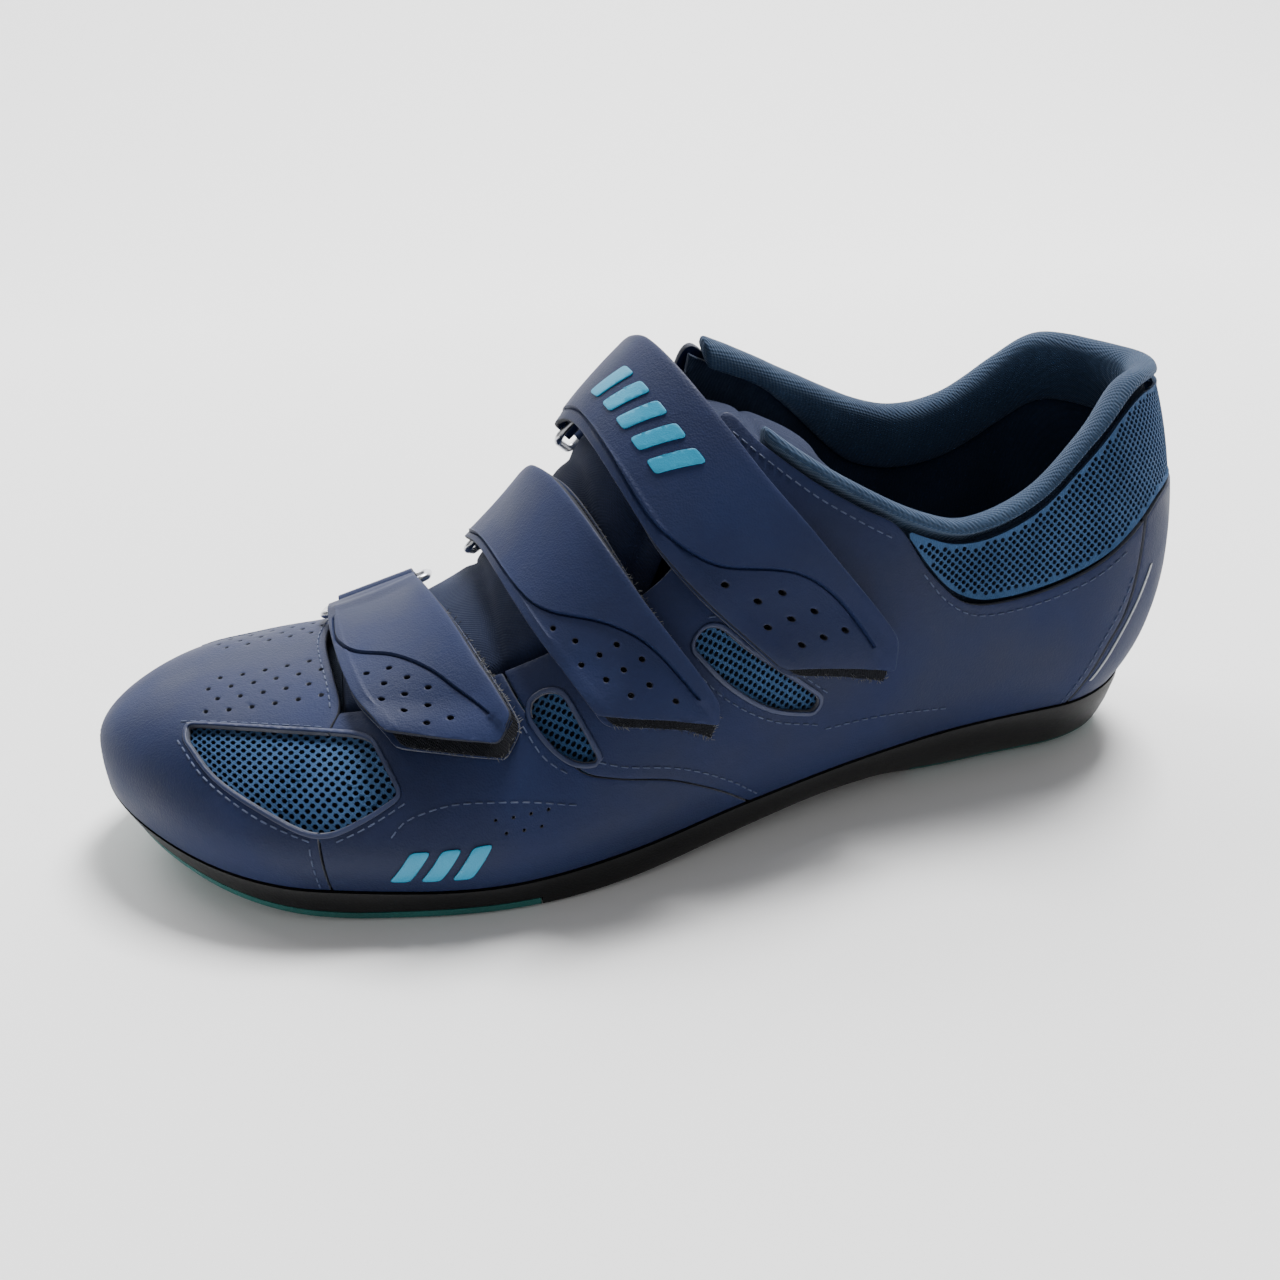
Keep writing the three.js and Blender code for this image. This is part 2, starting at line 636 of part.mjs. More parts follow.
// ---- tongue ------------------------------------------------------------------------
// The front follows the foot form under the throat; the rear droops as an arch into the mouth.
const tongueCentreZ = [[120, 84], [130, 92], [140, 96.5], [150, 97], [165, 92], [182, 83]];
const tongueHalfLateral = [[60, 22], [120, 25], [150, 24], [170, 21], [182, 18]];
const tongueHalfMedial = [[60, 20], [116, 12], [135, 12], [150, 14], [170, 14], [182, 13]];
const tongueEdgeDrop = [[120, 20], [150, 14], [182, 9]];
const tongueShare = [[60, 0.42], [96, 0.46], [132, 0.5], [150, 0.5]];
function tonguePoint(s, r, depth) {
  const u = lerp(tongueStart, tongueEnd, s);
  const a = lerp(-1, 1, r);
  const over = smooth((0.82 - Math.abs(a)) / 0.22);
  const rise = smooth((u - tongueStart) / 8);
  const under = liningInner - 0.5;
  const offset = lerp(under, lerp(under + 0.4, -0.8, rise), over);
  const onForm = skin(arcAt(u * lastScale), a * profile(tongueShare, u), offset - depth);
  const z = feather(u * lastScale) + (profile(tongueCentreZ, u) - feather(u * lastScale)) * heightRatio;
  const drawn = profile(a < 0 ? tongueHalfLateral : tongueHalfMedial, u);
  const half = (drawn + tongueWall) * widthRatio + liningInner;
  const arch = new THREE.Vector3(
    u * lastScale - originX,
    section(u * lastScale).centre + a * half,
    z - profile(tongueEdgeDrop, u) * a * a - depth,
  );
  return onForm.lerp(arch, smooth((u - 116) / 28));
}
add('tongue', gridSolid(14, 10, (s, r) => tonguePoint(s, r, 0),
  (s, r) => tonguePoint(s, r, tongueThickness)), 'navy');

// ---- straps ------------------------------------------------------------------------
// Front and rear edge give [percent of girth, distance from the toe tip]; the end line gives
// [share across the strap, percent of girth]; the ring sits on the medial side of the ridge.
const straps = [
  {
    ringAt: 16, keeperEnd: 36,
    front: [[-60, 73], [-52.7, 70.4], [-37.7, 63.9], [-6, 59.5], [20, 59], [40, 59]],
    rear: [[-60, 98.5], [-55.7, 97.8], [-36.1, 92.2], [0, 84.5], [20, 82], [40, 81]],
    end: [[0, -52.7], [0.42, -57.5], [0.83, -61.6], [1, -56.5]],
  },
  {
    ringAt: 17, keeperEnd: 36,
    front: [[-76, 120], [-63.5, 114.1], [-36.1, 104.6], [0, 98.8], [20, 97], [40, 96.5]],
    rear: [[-76, 141], [-71.7, 138.8], [-47.3, 127.2], [-5.9, 116.8], [20, 113], [40, 112]],
    end: [[0, -63.5], [0.45, -70], [0.87, -76], [1, -72]],
  },
  {
    ringAt: 11, keeperEnd: 29,
    front: [[-78, 162], [-71.2, 154.7], [-52.7, 138.7], [-35.5, 130.2], [4.5, 123.5], [30, 121]],
    rear: [[-78, 185], [-71.4, 183.2], [-51, 166.9], [-36.1, 155.4], [-18, 146.2], [4.5, 140], [30, 137]],
    end: [[0, -71.2], [0.45, -75], [0.9, -78.3], [1, -72]],
  },
];
const heights = {};
heights.base = strapGap + strapBaseThickness;
heights.loop = heights.base + layerGap + loopPatchThickness;
heights.hook = heights.loop + layerGap + hookPatchThickness;
heights.flapUnder = heights.hook + layerGap;
heights.flap = heights.flapUnder + flapThickness;
const sleeveInner = wireRadius + wireClearance;
const sleeveOuter = sleeveInner + sleeveThickness;
const barHeight = strapGap + sleeveOuter;

const strapStation = (strap, percent, a) =>
  lerp(profile(strap.front, percent), profile(strap.rear, percent), a) * lastScale;
const strapSkin = (strap, percent, a, offset) =>
  skin(arcAt(strapStation(strap, percent, a)), percent / 100, offset);
const alongGirth = (strap, percent, distance) => {
  const table = girthTable(strapStation(strap, percent, 0.5));
  return 100 * distance / (percent < 0 ? table.lateral : table.medial);
};

// Local frame of a ring: x along its long bars, y down the medial side, z away from the shoe.
function ringFrame(strap) {
  const at = strap.ringAt;
  const a = strapSkin(strap, at, 0, barHeight);
  const b = strapSkin(strap, at, 1, barHeight);
  const middle = strapSkin(strap, at, 0.5, barHeight);
  const below = strapSkin(strap, at + alongGirth(strap, at, ringPitch), 0.5, barHeight);
  const x = b.clone().sub(a).normalize();
  const y = below.clone().sub(middle);
  y.addScaledVector(x, -y.dot(x)).normalize();
  const z = x.clone().cross(y);
  const outward = skinNormal(arcAt(strapStation(strap, at, 0.5)), at / 100);
  const flip = z.dot(outward) < 0;
  if (flip) {
    x.negate();
    z.negate();
  }
  const chord = a.clone().add(b).multiplyScalar(0.5);
  const raise = Math.max(0, middle.clone().sub(chord).dot(z));
  return { x, y, z, middle: chord.addScaledVector(z, raise), width: a.distanceTo(b) };
}
const inFrame = (frame, shift, x, y, z) => frame.middle.clone()
  .addScaledVector(frame.x, x).addScaledVector(frame.y, y + shift).addScaledVector(frame.z, z);

// C-shaped sleeve round a bar; angles are measured in the y-z plane of the ring's frame.
function sleeve(frame, shift, width, fromAngle, toAngle) {
  const steps = 10;
  const ring = (x) => {
    const points = [];
    for (let i = 0; i <= steps; i += 1) {
      const angle = lerp(fromAngle, toAngle, i / steps);
      points.push(inFrame(frame, shift, x, Math.cos(angle) * sleeveOuter, Math.sin(angle) * sleeveOuter));
    }
    for (let i = steps; i >= 0; i -= 1) {
      const angle = lerp(fromAngle, toAngle, i / steps);
      points.push(inFrame(frame, shift, x, Math.cos(angle) * sleeveInner, Math.sin(angle) * sleeveInner));
    }
    return points;
  };
  const flat = ring(0).map((p) => {
    const local = p.clone().sub(frame.middle);
    return new THREE.Vector2(local.dot(frame.y), local.dot(frame.z));
  });
  return loft([ring(-width / 2), ring(width / 2)], flat);
}

function wireRing(frame) {
  const halfLong = frame.width / 2 + ringEndClearance + wireRadius;
  const corners = [[-halfLong, 0], [halfLong, 0], [halfLong, ringPitch], [-halfLong, ringPitch]];
  const points = [];
  const arcSteps = 3;
  corners.forEach(([cx, cy], i) => {
    const [px, py] = corners[(i + 3) % 4];
    const [nx, ny] = corners[(i + 1) % 4];
    const back = new THREE.Vector2(px - cx, py - cy).normalize();
    const next = new THREE.Vector2(nx - cx, ny - cy).normalize();
    for (let k = 0; k <= arcSteps; k += 1) {
      const angle = Math.PI / 2 * k / arcSteps;
      const [p, q] = [ringCorner * (1 - Math.sin(angle)), ringCorner * (1 - Math.cos(angle))];
      points.push(new THREE.Vector2(cx + back.x * p + next.x * q, cy + back.y * p + next.y * q));
    }
  });
  const sides = 6;
  const count = points.length;
  const rings = [];
  for (let i = 0; i <= count; i += 1) {
    const here = points[i % count];
    const before = points[(i + count - 1) % count];
    const after = points[(i + 1) % count];
    const tangent = after.clone().sub(before).normalize();
    const ring = [];
    for (let k = 0; k < sides; k += 1) {
      const angle = 2 * Math.PI * k / sides;
      const out = Math.cos(angle) * wireRadius;
      const up = Math.sin(angle) * wireRadius;
      ring.push(inFrame(frame, 0, here.x + tangent.y * out, here.y - tangent.x * out, up));
    }
    rings.push(ring);
  }
  return loft(rings);
}

// Straps share one grid: steps along, and these shares across. Every layer uses its knots.
const strapSteps = 11;
const acrossKnots = [0, 0.1, 0.37, 0.63, 0.9, 1];
function strapLayer(strap, steps, across, top, bottom, ease = (point) => point) {
  const knots = acrossKnots.slice(across, acrossKnots.length - across);
  const point = (height) => (s, r) => {
    const step = steps[Math.round(s * (steps.length - 1))];
    const a = knots[Math.round(r * (knots.length - 1))];
    const percent = lerp(strap.ringAt, endAt(strap, a), step / strapSteps);
    return ease(strapSkin(strap, percent, a, height), step, a, height === top);
  };
  return gridSolid(steps.length - 1, knots.length - 1, point(top), point(bottom));
}
const stepsFrom = (first, last) => Array.from({ length: last - first + 1 }, (_, i) => first + i);
const endAt = (strap, a) => {
  const k = strap.end.findIndex(([x], i) => i > 0 && a <= x + 1e-9);
  const [x0, y0] = strap.end[k - 1];
  const [x1, y1] = strap.end[k];
  return lerp(y0, y1, (a - x0) / (x1 - x0));
};

straps.forEach((strap, i) => {
  const n = i + 1;
  const frame = ringFrame(strap);
  const acrossBar = (a) => strapSkin(strap, strap.ringAt, a, barHeight).sub(frame.middle).dot(frame.x);
  const ontoBar = (point, step, a, isTop) => {
    const level = isTop ? sleeveOuter : sleeveInner + 0.05;
    const onBar = inFrame(frame, 0, acrossBar(a) * 0.99, -step * 4, level);
    return point.lerp(onBar, 1 - smooth(step / 2));
  };
  const flap = strapLayer(strap, stepsFrom(0, strapSteps), 0, heights.flap, heights.flapUnder, ontoBar);
  const wrap = sleeve(frame, 0, frame.width - 0.4, Math.PI * 0.62, -Math.PI * 0.78);
  add(`strap_flap_${n}`, join(flap, [wrap]), 'navy');
  add(`ring_${n}`, wireRing(frame), 'steel');

  const lowPercent = strap.ringAt + alongGirth(strap, strap.ringAt, ringPitch);
  const tailPoint = (height) => (s, r) => {
    const a = lerp(0.05, 0.95, r);
    const point = strapSkin(strap, lerp(lowPercent, strap.keeperEnd + 6 * a, s), a, height);
    const isTop = height > strapGap;
    const depth = isTop ? sleeveInner + 0.5 * sleeveThickness : sleeveOuter;
    const onBar = inFrame(frame, ringPitch, acrossBar(a), s * 10, -depth);
    return point.lerp(onBar, 1 - smooth(s / 0.5));
  };
  const tail = gridSolid(5, 3, tailPoint(heights.base), tailPoint(strapGap));
  const hold = sleeve(frame, ringPitch, frame.width - 2, -Math.PI * 0.42, Math.PI * 1.38);
  add(`strap_keeper_${n}`, join(tail, [hold]), 'navy');

  add(`strap_base_${n}`, strapLayer(strap, [1, ...stepsFrom(2, strapSteps), strapSteps + 0.8], 0,
    heights.base, strapGap), 'navy');
  add(`loop_patch_${n}`, strapLayer(strap, [...stepsFrom(4, strapSteps), strapSteps + 0.6], 1,
    heights.loop, heights.base + layerGap), 'hook');
  add(`hook_patch_${n}`, strapLayer(strap, stepsFrom(5, strapSteps - 1), 1,
    heights.hook, heights.loop + layerGap), 'hook');
  if (n === straps.length) {
    add('strap_badge', strapLayer(strap, stepsFrom(3, 5), 2,
      heights.flap + layerGap + badgeThickness, heights.flap + layerGap), 'cyan');
  }
});

// ---- side badge ---------------------------------------------------------------------
const badgeShape = band([[66, -93], [73, -93.5], [80, -94]].map(([u, p]) => [u * lastScale, p]),
  [[72, -82], [80, -82.5], [88, -83.5]].map(([u, p]) => [u * lastScale, p]));
add('side_badge', skinPanel(badgeShape, 5, 3, layerGap + badgeThickness, badgeThickness), 'cyan');

// ---- sole ----------------------------------------------------------------------------
const soleBottom = (u) => Math.max(0, drafted(soleHeight, u));
function soleRing(u) {
  const s = section(u);
  const closing = roundOff(u, toeRound) * roundOff(lastLength - u, heelRound);
  const x = u - originX + heelLean(u, 0);
  const top = s.base - soleTopDrop;
  const bottom = soleBottom(u);
  const share = drafted(soleShare, u);
  const ends = Math.max(0, 1 - u / (40 * lastScale)) ** 2 - Math.max(0, 1 - (lastLength - u) / 30) ** 2;
  const proud = soleProud * closing;
  const half = { lateral: s.lateral * (1 - sideTuck) + proud, medial: s.medial * (1 - sideTuck) + proud };
  const row = (z, scale, pull, from, to, steps) => {
    const points = [];
    for (let i = 0; i <= steps; i += 1) {
      const a = lerp(from, to, i / Math.max(steps, 1));
      const y = (a < 0 ? half.lateral : half.medial) * a * scale;
      points.push(new THREE.Vector3(x + pull * ends, s.centre + y, z));
    }
    return points;
  };
  const deep = top - bottom;
  return [
    ...row(top, 1, 0, -1, 1, 4),
    ...row(top - deep * 0.45, lerp(share, 1, 0.75), 1, 1, 1, 0),
    ...row(bottom + deep * 0.18, lerp(share, 1, 0.3), 1.6, 1, 1, 0),
    ...row(bottom, share * 0.94, 2, 1, -1, 6),
    ...row(bottom + deep * 0.18, lerp(share, 1, 0.3), 1.6, -1, -1, 0),
    ...row(top - deep * 0.45, lerp(share, 1, 0.75), 1, -1, -1, 0),
  ];
}
const soleRings = [];
const soleSteps = 34;
for (let i = 0; i <= soleSteps; i += 1) soleRings.push(soleRing(stationAt(arcLength * i / soleSteps)));
const soleBody = toSolid(loft(soleRings));

// Slab under the sole whose upper face follows the sole's underside.
function padSlab(fromU, toU, yLow, yHigh, rise) {
  const place = (s, r) => {
    const u = lerp(fromU, toU, s) * lastScale;
    return [u - originX, lerp(yLow, yHigh, r) * widthRatio, soleBottom(clamp(u, 0, lastLength))];
  };
  const top = (s, r) => {
    const [x, y, z] = place(s, r);
    return new THREE.Vector3(x, y, z + rise);
  };
  const under = (s, r) => {
    const [x, y] = place(s, r);
    return new THREE.Vector3(x, y, -20);
  };
  return toSolid(gridSolid(10, 2, top, under));
}
const padZone = (grow) => ({
  toe: padSlab(-10, 58 + grow, -90, 90, padThickness + grow)
    .add(padSlab(50, 98 + grow, -90, -24 + grow, padThickness + grow))
    .add(padSlab(50, 98 + grow, 36 - grow, 90, padThickness + grow)),
  heel: padSlab(198 - grow, 290, -90, 90, padThickness + grow),
});
const pads = padZone(0);
const padSeats = padZone(padGap);
add('toe_pad', toGeometry(soleBody.intersect(pads.toe)), 'teal');
add('heel_pad', toGeometry(soleBody.intersect(pads.heel)), 'teal');

const cleatCentreY = 6 * widthRatio;
const insertPlaces = [
  [cleatRearAt - cleatAlong, 0], [cleatRearAt, -cleatAcross / 2], [cleatRearAt, cleatAcross / 2],
].map(([u, y]) => [u * lastScale, cleatCentreY + y]);
const upright = (geometry, x, y, z) => {
  geometry.rotateX(Math.PI / 2);
  geometry.translate(x, y, z);
  return geometry;
};
const cylinder = (radius, height, sides) => {
  const outline = [[0, 0], [radius, 0], [radius, height], [0, height]];
  return new THREE.LatheGeometry(outline.map(([x, y]) => new THREE.Vector2(x, y)), sides);
};
const insertSides = 14;
const insertTop = (u) => feather(u) - soleTopDrop - 0.2;
const insertHoles = insertPlaces.map(([u, y]) =>
  toSolid(upright(cylinder(insertRadius + layerGap, 40, insertSides), u - originX, y, -20)));
const pocketHalf = { x: nutPlateLength / 2 + nutTravel + nutClearance, y: nutPlateWidth / 2 + nutClearance };
const nutCentre = [nutCentreAt * lastScale - originX, cleatCentreY];
const block = (x, y, z0, z1, sizeX, sizeY) => {
  const box = new THREE.BoxGeometry(sizeX, sizeY, z1 - z0);
  box.translate(x, y, (z0 + z1) / 2);
  return toSolid(box);
};
const pocket = block(nutCentre[0], nutCentre[1], nutPocketFloor, 20, 2 * pocketHalf.x, 2 * pocketHalf.y);
const slots = [-1, 1].map((side) => block(nutCentre[0], nutCentre[1] + side * nutSlotPitch / 2, -5, 20,
  2 * nutTravel + nutSlotWidth, nutSlotWidth));
const outsole = [padSeats.toe, padSeats.heel, ...insertHoles, pocket, ...slots]
  .reduce((solid, cutter) => solid.subtract(cutter), soleBody);
add('outsole', toGeometry(outsole), 'black');

insertPlaces.forEach(([u, y], i) => {
  const height = insertTop(u) - insertRecess;
  const wall = [[insertBore, 0], [insertRadius, 0], [insertRadius, height], [insertBore, height],
    [insertBore, 0]];
  const geometry = new THREE.LatheGeometry(wall.map(([x, z]) => new THREE.Vector2(x, z)), insertSides);
  add(`cleat_insert_${i + 1}`, upright(geometry, u - originX, y, insertRecess), 'steel');
});
const nutZ = nutPocketFloor + layerGap;
const nutHoles = [-1, 1].map((side) => toSolid(upright(cylinder(2.1, 20, 16), nutCentre[0],
  nutCentre[1] + side * nutSlotPitch / 2, -5)));
const nutPlate = nutHoles.reduce((solid, hole) => solid.subtract(hole),
  block(nutCentre[0], nutCentre[1], nutZ, nutZ + nutPlateThickness, nutPlateLength, nutPlateWidth));
add('cleat_nut_plate', toGeometry(nutPlate), 'steel');

// ---- board, film and footbed -----------------------------------------------------------
function innerPlate(fromU, toU, rise, thickness, rows, columns) {
  const point = (dz) => (s, r) => {
    const u = fromU + (toU - fromU) * (1 - Math.cos(Math.PI * s)) / 2;
    const rounding = roundOff(u - fromU, toeRound - fromU) * roundOff(toU - u, heelRound);
    const a = lerp(-1, 1, r);
    const table = a < 0 ? lateralWidth : medialWidth;
    const half = (drafted(table, u) * widthRatio * (1 - sideTuck) - wallInset) * rounding;
    const y = drafted(centreLine, u) + a * half;
    return new THREE.Vector3(u - originX + heelLean(u, 4), y, feather(u) + dz);
  };
  return gridSolid(rows, columns, point(rise + thickness), point(rise), true, true);
}
const plateStart = wallInset + 0.8;
const plateEnd = lastLength - wallInset - 1.5;
const boardRise = layerGap * 2;
const footbedRise = boardRise + boardThickness + layerGap;
const coverRise = footbedRise + footbedThickness + layerGap;
add('lasting_board', innerPlate(plateStart, plateEnd, boardRise, boardThickness, 18, 4), 'board');
add('footbed', innerPlate(plateStart, plateEnd, footbedRise, footbedThickness, 18, 4), 'foam');
add('footbed_cover', innerPlate(plateStart, plateEnd, coverRise, footbedCoverThickness, 18, 4), 'lining');
const filmPoint = (dz) => (s, r) => {
  const x = nutCentre[0] + lerp(-17, 17, s);
  return new THREE.Vector3(x, nutCentre[1] + lerp(-16, 16, r), feather(x + originX) + dz);
};
add('sealing_film', gridSolid(6, 2, filmPoint(-0.1 + filmThickness - 0.02), filmPoint(-0.1)), 'board');

// ---- origin: middle of the footprint box, on the ground ----------------------------------
const bounds = new THREE.Box3().setFromObject(shoe);
const middle = bounds.getCenter(new THREE.Vector3());
shoe.position.set(-middle.x, -middle.y, -bounds.min.z);

export default shoe;
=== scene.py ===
import math
import random

import bpy
import bmesh
import numpy as np
from mathutils import Matrix, Vector, geometry, kdtree


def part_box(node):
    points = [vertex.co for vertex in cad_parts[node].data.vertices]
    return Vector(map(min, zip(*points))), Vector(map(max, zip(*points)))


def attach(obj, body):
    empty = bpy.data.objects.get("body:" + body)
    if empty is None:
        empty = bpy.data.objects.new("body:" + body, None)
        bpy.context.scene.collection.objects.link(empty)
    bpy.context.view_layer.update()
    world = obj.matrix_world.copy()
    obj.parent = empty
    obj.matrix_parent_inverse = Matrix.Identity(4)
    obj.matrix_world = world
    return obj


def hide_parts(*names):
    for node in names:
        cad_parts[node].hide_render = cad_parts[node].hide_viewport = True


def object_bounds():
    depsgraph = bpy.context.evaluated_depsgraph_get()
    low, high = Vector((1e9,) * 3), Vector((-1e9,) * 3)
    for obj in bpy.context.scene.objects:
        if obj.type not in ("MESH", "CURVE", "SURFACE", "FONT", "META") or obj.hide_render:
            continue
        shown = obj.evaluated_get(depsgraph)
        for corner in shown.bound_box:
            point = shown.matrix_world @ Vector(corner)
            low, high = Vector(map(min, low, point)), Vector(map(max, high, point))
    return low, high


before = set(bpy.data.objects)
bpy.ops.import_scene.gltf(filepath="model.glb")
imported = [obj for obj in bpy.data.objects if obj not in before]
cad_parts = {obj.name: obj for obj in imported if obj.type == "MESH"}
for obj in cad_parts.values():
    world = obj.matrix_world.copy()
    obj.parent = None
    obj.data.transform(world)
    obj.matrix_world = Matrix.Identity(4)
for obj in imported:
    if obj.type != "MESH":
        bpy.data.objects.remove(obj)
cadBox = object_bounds()

# Left cycling shoe. Toe towards -X, lateral side towards -Y, up is +Z. Lengths are millimetres until
# a mesh is made, which turns them to metres.
mm = 0.001

# the foot form that every layer of the upper lies on
# Stations are (distance from the toe tip, value).
form = {
    "length": 276, "toeRound": 50, "heelRound": 36, "toeTip": 7, "toeRise": 32,
    "tuck": 0.07, "tuckHeight": 14,
    "girthSteps": 120, "gridStep": 0.6, "gridShares": 321, "heelReach": 130, "toeReach": 20,
    "centre": [(0, 12), (40, 9), (90, 6), (140, 6), (190, 2), (240, 0), (276, 0)],
    "lateral": [(0, 40), (30, 49), (60, 56), (90, 60), (120, 58), (150, 50), (180, 41), (210, 35), (250, 32),
                (276, 31)],
    "medial": [(0, 34), (30, 38), (60, 42), (85, 43), (110, 38), (140, 31), (175, 29), (210, 32), (250, 34),
               (276, 33)],
    "feather": [(0, 19), (30, 12), (60, 9), (90, 8), (120, 10), (160, 14), (200, 17), (240, 18), (276, 19)],
    "ridge": [(0, 42), (20, 43), (40, 44), (70, 48), (90, 57), (105, 69), (118, 84), (130, 99), (145, 112),
              (160, 119), (180, 124), (220, 130), (250, 133), (276, 134)],
    "roundness": [(0, 2.5), (50, 2.35), (90, 2.05), (130, 1.8), (170, 1.75), (220, 2.1), (276, 2.3)],
    "soleBottom": [(0, 16), (15, 9), (35, 3), (58, 0), (96, -0.1), (115, 0.5), (140, 2.5), (165, 4.5),
                   (185, 4), (200, 1), (213, 0), (262, 0), (272, 3), (276, 7)],
    "soleShare": [(0, 0.95), (60, 0.97), (110, 0.97), (150, 0.93), (180, 0.85), (200, 0.75), (240, 0.7),
                  (276, 0.7)],
    "collarLateral": [(145, 105), (152, 99), (165, 88), (180, 78), (195, 70), (207, 67), (224, 72),
                      (242, 85), (258, 94), (276, 95)],
    "collarMedial": [(145, 112), (155, 106), (165, 101), (180, 93), (200, 83), (213, 80), (228, 82),
                     (245, 90), (260, 97), (276, 95)],
    "collarMeshDepth": [(190, 1.5), (196, 8), (205, 14), (224, 20), (240, 27), (253, 28), (264, 25),
                        (276, 24)],
}
# Heights above (+) or below (-) the skin of the form.
layers = {
    "panel": 1.4, "knitTop": -1.7, "knitUnder": -2.6, "stiffTop": -1.85, "stiffUnder": -2.75,
    "liningTop": -3.2, "liningUnder": -4.2, "strapGap": 0.6, "baseTop": 1.6, "loopUnder": 1.9, "loopTop": 2.5,
    "hookUnder": 2.8, "hookTop": 3.3, "flapUnder": 3.6, "flapTop": 5.5, "seamGap": 0.5,
}


def curve(stations, at):
    # smooth curve through (position, value) stations, flat beyond its ends
    xs, ys = (np.array(column, float) for column in zip(*stations))
    slopes = np.empty_like(ys)
    slopes[1:-1] = (ys[2:] - ys[:-2]) / (xs[2:] - xs[:-2])
    slopes[0] = (ys[1] - ys[0]) / (xs[1] - xs[0])
    slopes[-1] = (ys[-1] - ys[-2]) / (xs[-1] - xs[-2])
    at = np.clip(np.asarray(at, float), xs[0], xs[-1])
    k = np.clip(np.searchsorted(xs, at) - 1, 0, len(xs) - 2)
    h = xs[k + 1] - xs[k]
    t = (at - xs[k]) / h
    t2, t3 = t * t, t * t * t
    return ((2 * t3 - 3 * t2 + 1) * ys[k] + (t3 - 2 * t2 + t) * h * slopes[k]
            + (3 * t2 - 2 * t3) * ys[k + 1] + (t3 - t2) * h * slopes[k + 1])


def smooth(x):
    x = np.clip(x, 0, 1)
    return x * x * (3 - 2 * x)


def lerp(a, b, t):
    return a + (b - a) * t


def roundOff(distance, radius):
    return np.sqrt(np.clip(1 - (1 - np.clip(distance / radius, 0, 1)) ** 2, 0, 1))


toeArc = form["toeRound"] * math.pi / 2
heelArc = form["heelRound"] * math.pi / 2
arcLength = toeArc + form["length"] - form["toeRound"] - form["heelRound"] + heelArc


def arcAt(u):
    # arc coordinate, even round the toe and the heel; past the heel it runs on to the other side
    u = np.asarray(u, float)
    beyond = u > form["length"]
    near = np.where(beyond, 2 * form["length"] - u, u)
    toe = form["toeRound"] * np.arccos(np.clip(1 - near / form["toeRound"], -1, 1))
    left = form["length"] - near
    heel = arcLength - form["heelRound"] * np.arccos(np.clip(1 - left / form["heelRound"], -1, 1))
    arc = np.where(near < form["toeRound"], toe,
                   np.where(left < form["heelRound"], heel, toeArc + near - form["toeRound"]))
    return np.where(beyond, 2 * arcLength - arc, arc)


def stationAt(arc):
    arc = np.clip(np.asarray(arc, float), 0, arcLength)
    left = arcLength - arc
    toe = form["toeRound"] * (1 - np.cos(np.clip(arc, 0, toeArc) / form["toeRound"]))
    heel = form["length"] - form["heelRound"] * (1 - np.cos(np.clip(left, 0, heelArc) / form["heelRound"]))
    return np.where(arc < toeArc, toe, np.where(left < heelArc, heel, form["toeRound"] + arc - toeArc))


originX = 141


def heelLean(u, dz):
    blend = smooth((u - (form["length"] - 80)) / 80)
    low = np.clip(1 - dz / 30, 0, 1)
    high = np.clip((dz - 30) / 55, 0, 1.5)
    return -blend * (8 * low * low + 13 * high * high)


def formPoint(u, angle):
    # angle 0 is the lateral feather edge, half a turn later the medial one
    toe = roundOff(u, form["toeRound"])
    ends = toe * roundOff(form["length"] - u, form["heelRound"])
    base = curve(form["feather"], u)
    height = form["toeTip"] + (curve(form["ridge"], u) - base - form["toeTip"]) * roundOff(u, form["toeRise"])
    power = 2 / curve(form["roundness"], u)
    across = np.abs(np.cos(angle)) ** power
    dz = np.abs(np.sin(angle)) ** power * height
    low = 1 - np.clip(dz / form["tuckHeight"], 0, 1)
    isLateral = angle < math.pi / 2
    half = np.where(isLateral, curve(form["lateral"], u), curve(form["medial"], u)) * ends
    y = across * half * (1 - form["tuck"] * low * low)
    centre = curve(form["centre"], u)
    return np.stack([u - originX + heelLean(u, dz), centre + np.where(isLateral, -y, y), base + dz], -1)


def makeSkinGrid():
    rows = int(arcLength / form["gridStep"]) + 1
    arcs = np.linspace(0, arcLength, rows)
    stations = stationAt(arcs)
    angles = np.linspace(0, math.pi, form["girthSteps"] + 1)
    ring = formPoint(stations[:, None], angles[None, :] + 0 * stations[:, None])
    pieces = np.linalg.norm(np.diff(ring, axis=1), axis=2)
    run = np.concatenate([np.zeros((rows, 1)), np.cumsum(pieces, 1)], 1)
    half = form["girthSteps"] // 2
    girths = np.stack([run[:, half], run[:, -1] - run[:, half]], 1)
    shares = np.linspace(-1, 1, form["gridShares"])
    chosen = np.empty((rows, form["gridShares"]))
    for i in range(rows):
        known = np.where(run[i] <= girths[i, 0], run[i] / girths[i, 0] - 1,
                         (run[i] - girths[i, 0]) / girths[i, 1])
        chosen[i] = np.interp(shares, known, angles)
    points = formPoint(stations[:, None] + 0 * chosen, chosen)
    toeRows = int(form["toeReach"] / form["gridStep"])
    heelRows = int(form["heelReach"] / form["gridStep"])
    before = points[toeRows:0:-1, ::-1]
    after = points[-2:-heelRows - 2:-1, ::-1]
    points = np.concatenate([before, points, after])
    normals = np.cross(np.gradient(points, axis=0), np.gradient(points, axis=1))
    normals /= np.maximum(np.linalg.norm(normals, axis=2, keepdims=True), 1e-12)
    return points, normals, girths, arcs, toeRows


skinPoints, skinNormals, halfGirths, gridArcs, toeRows = makeSkinGrid()
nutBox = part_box("cleat_nut_plate")
nutDraft = Vector((-50, 6, 0)) * mm      # nut plate centre before the form is centred on its box
shift = (nutBox[0] + nutBox[1]) / 2 - nutDraft
shift = np.array([shift.x, shift.y, 0]) / mm
print("foot form ready", skinPoints.shape[:2], "shift", shift.round(3))


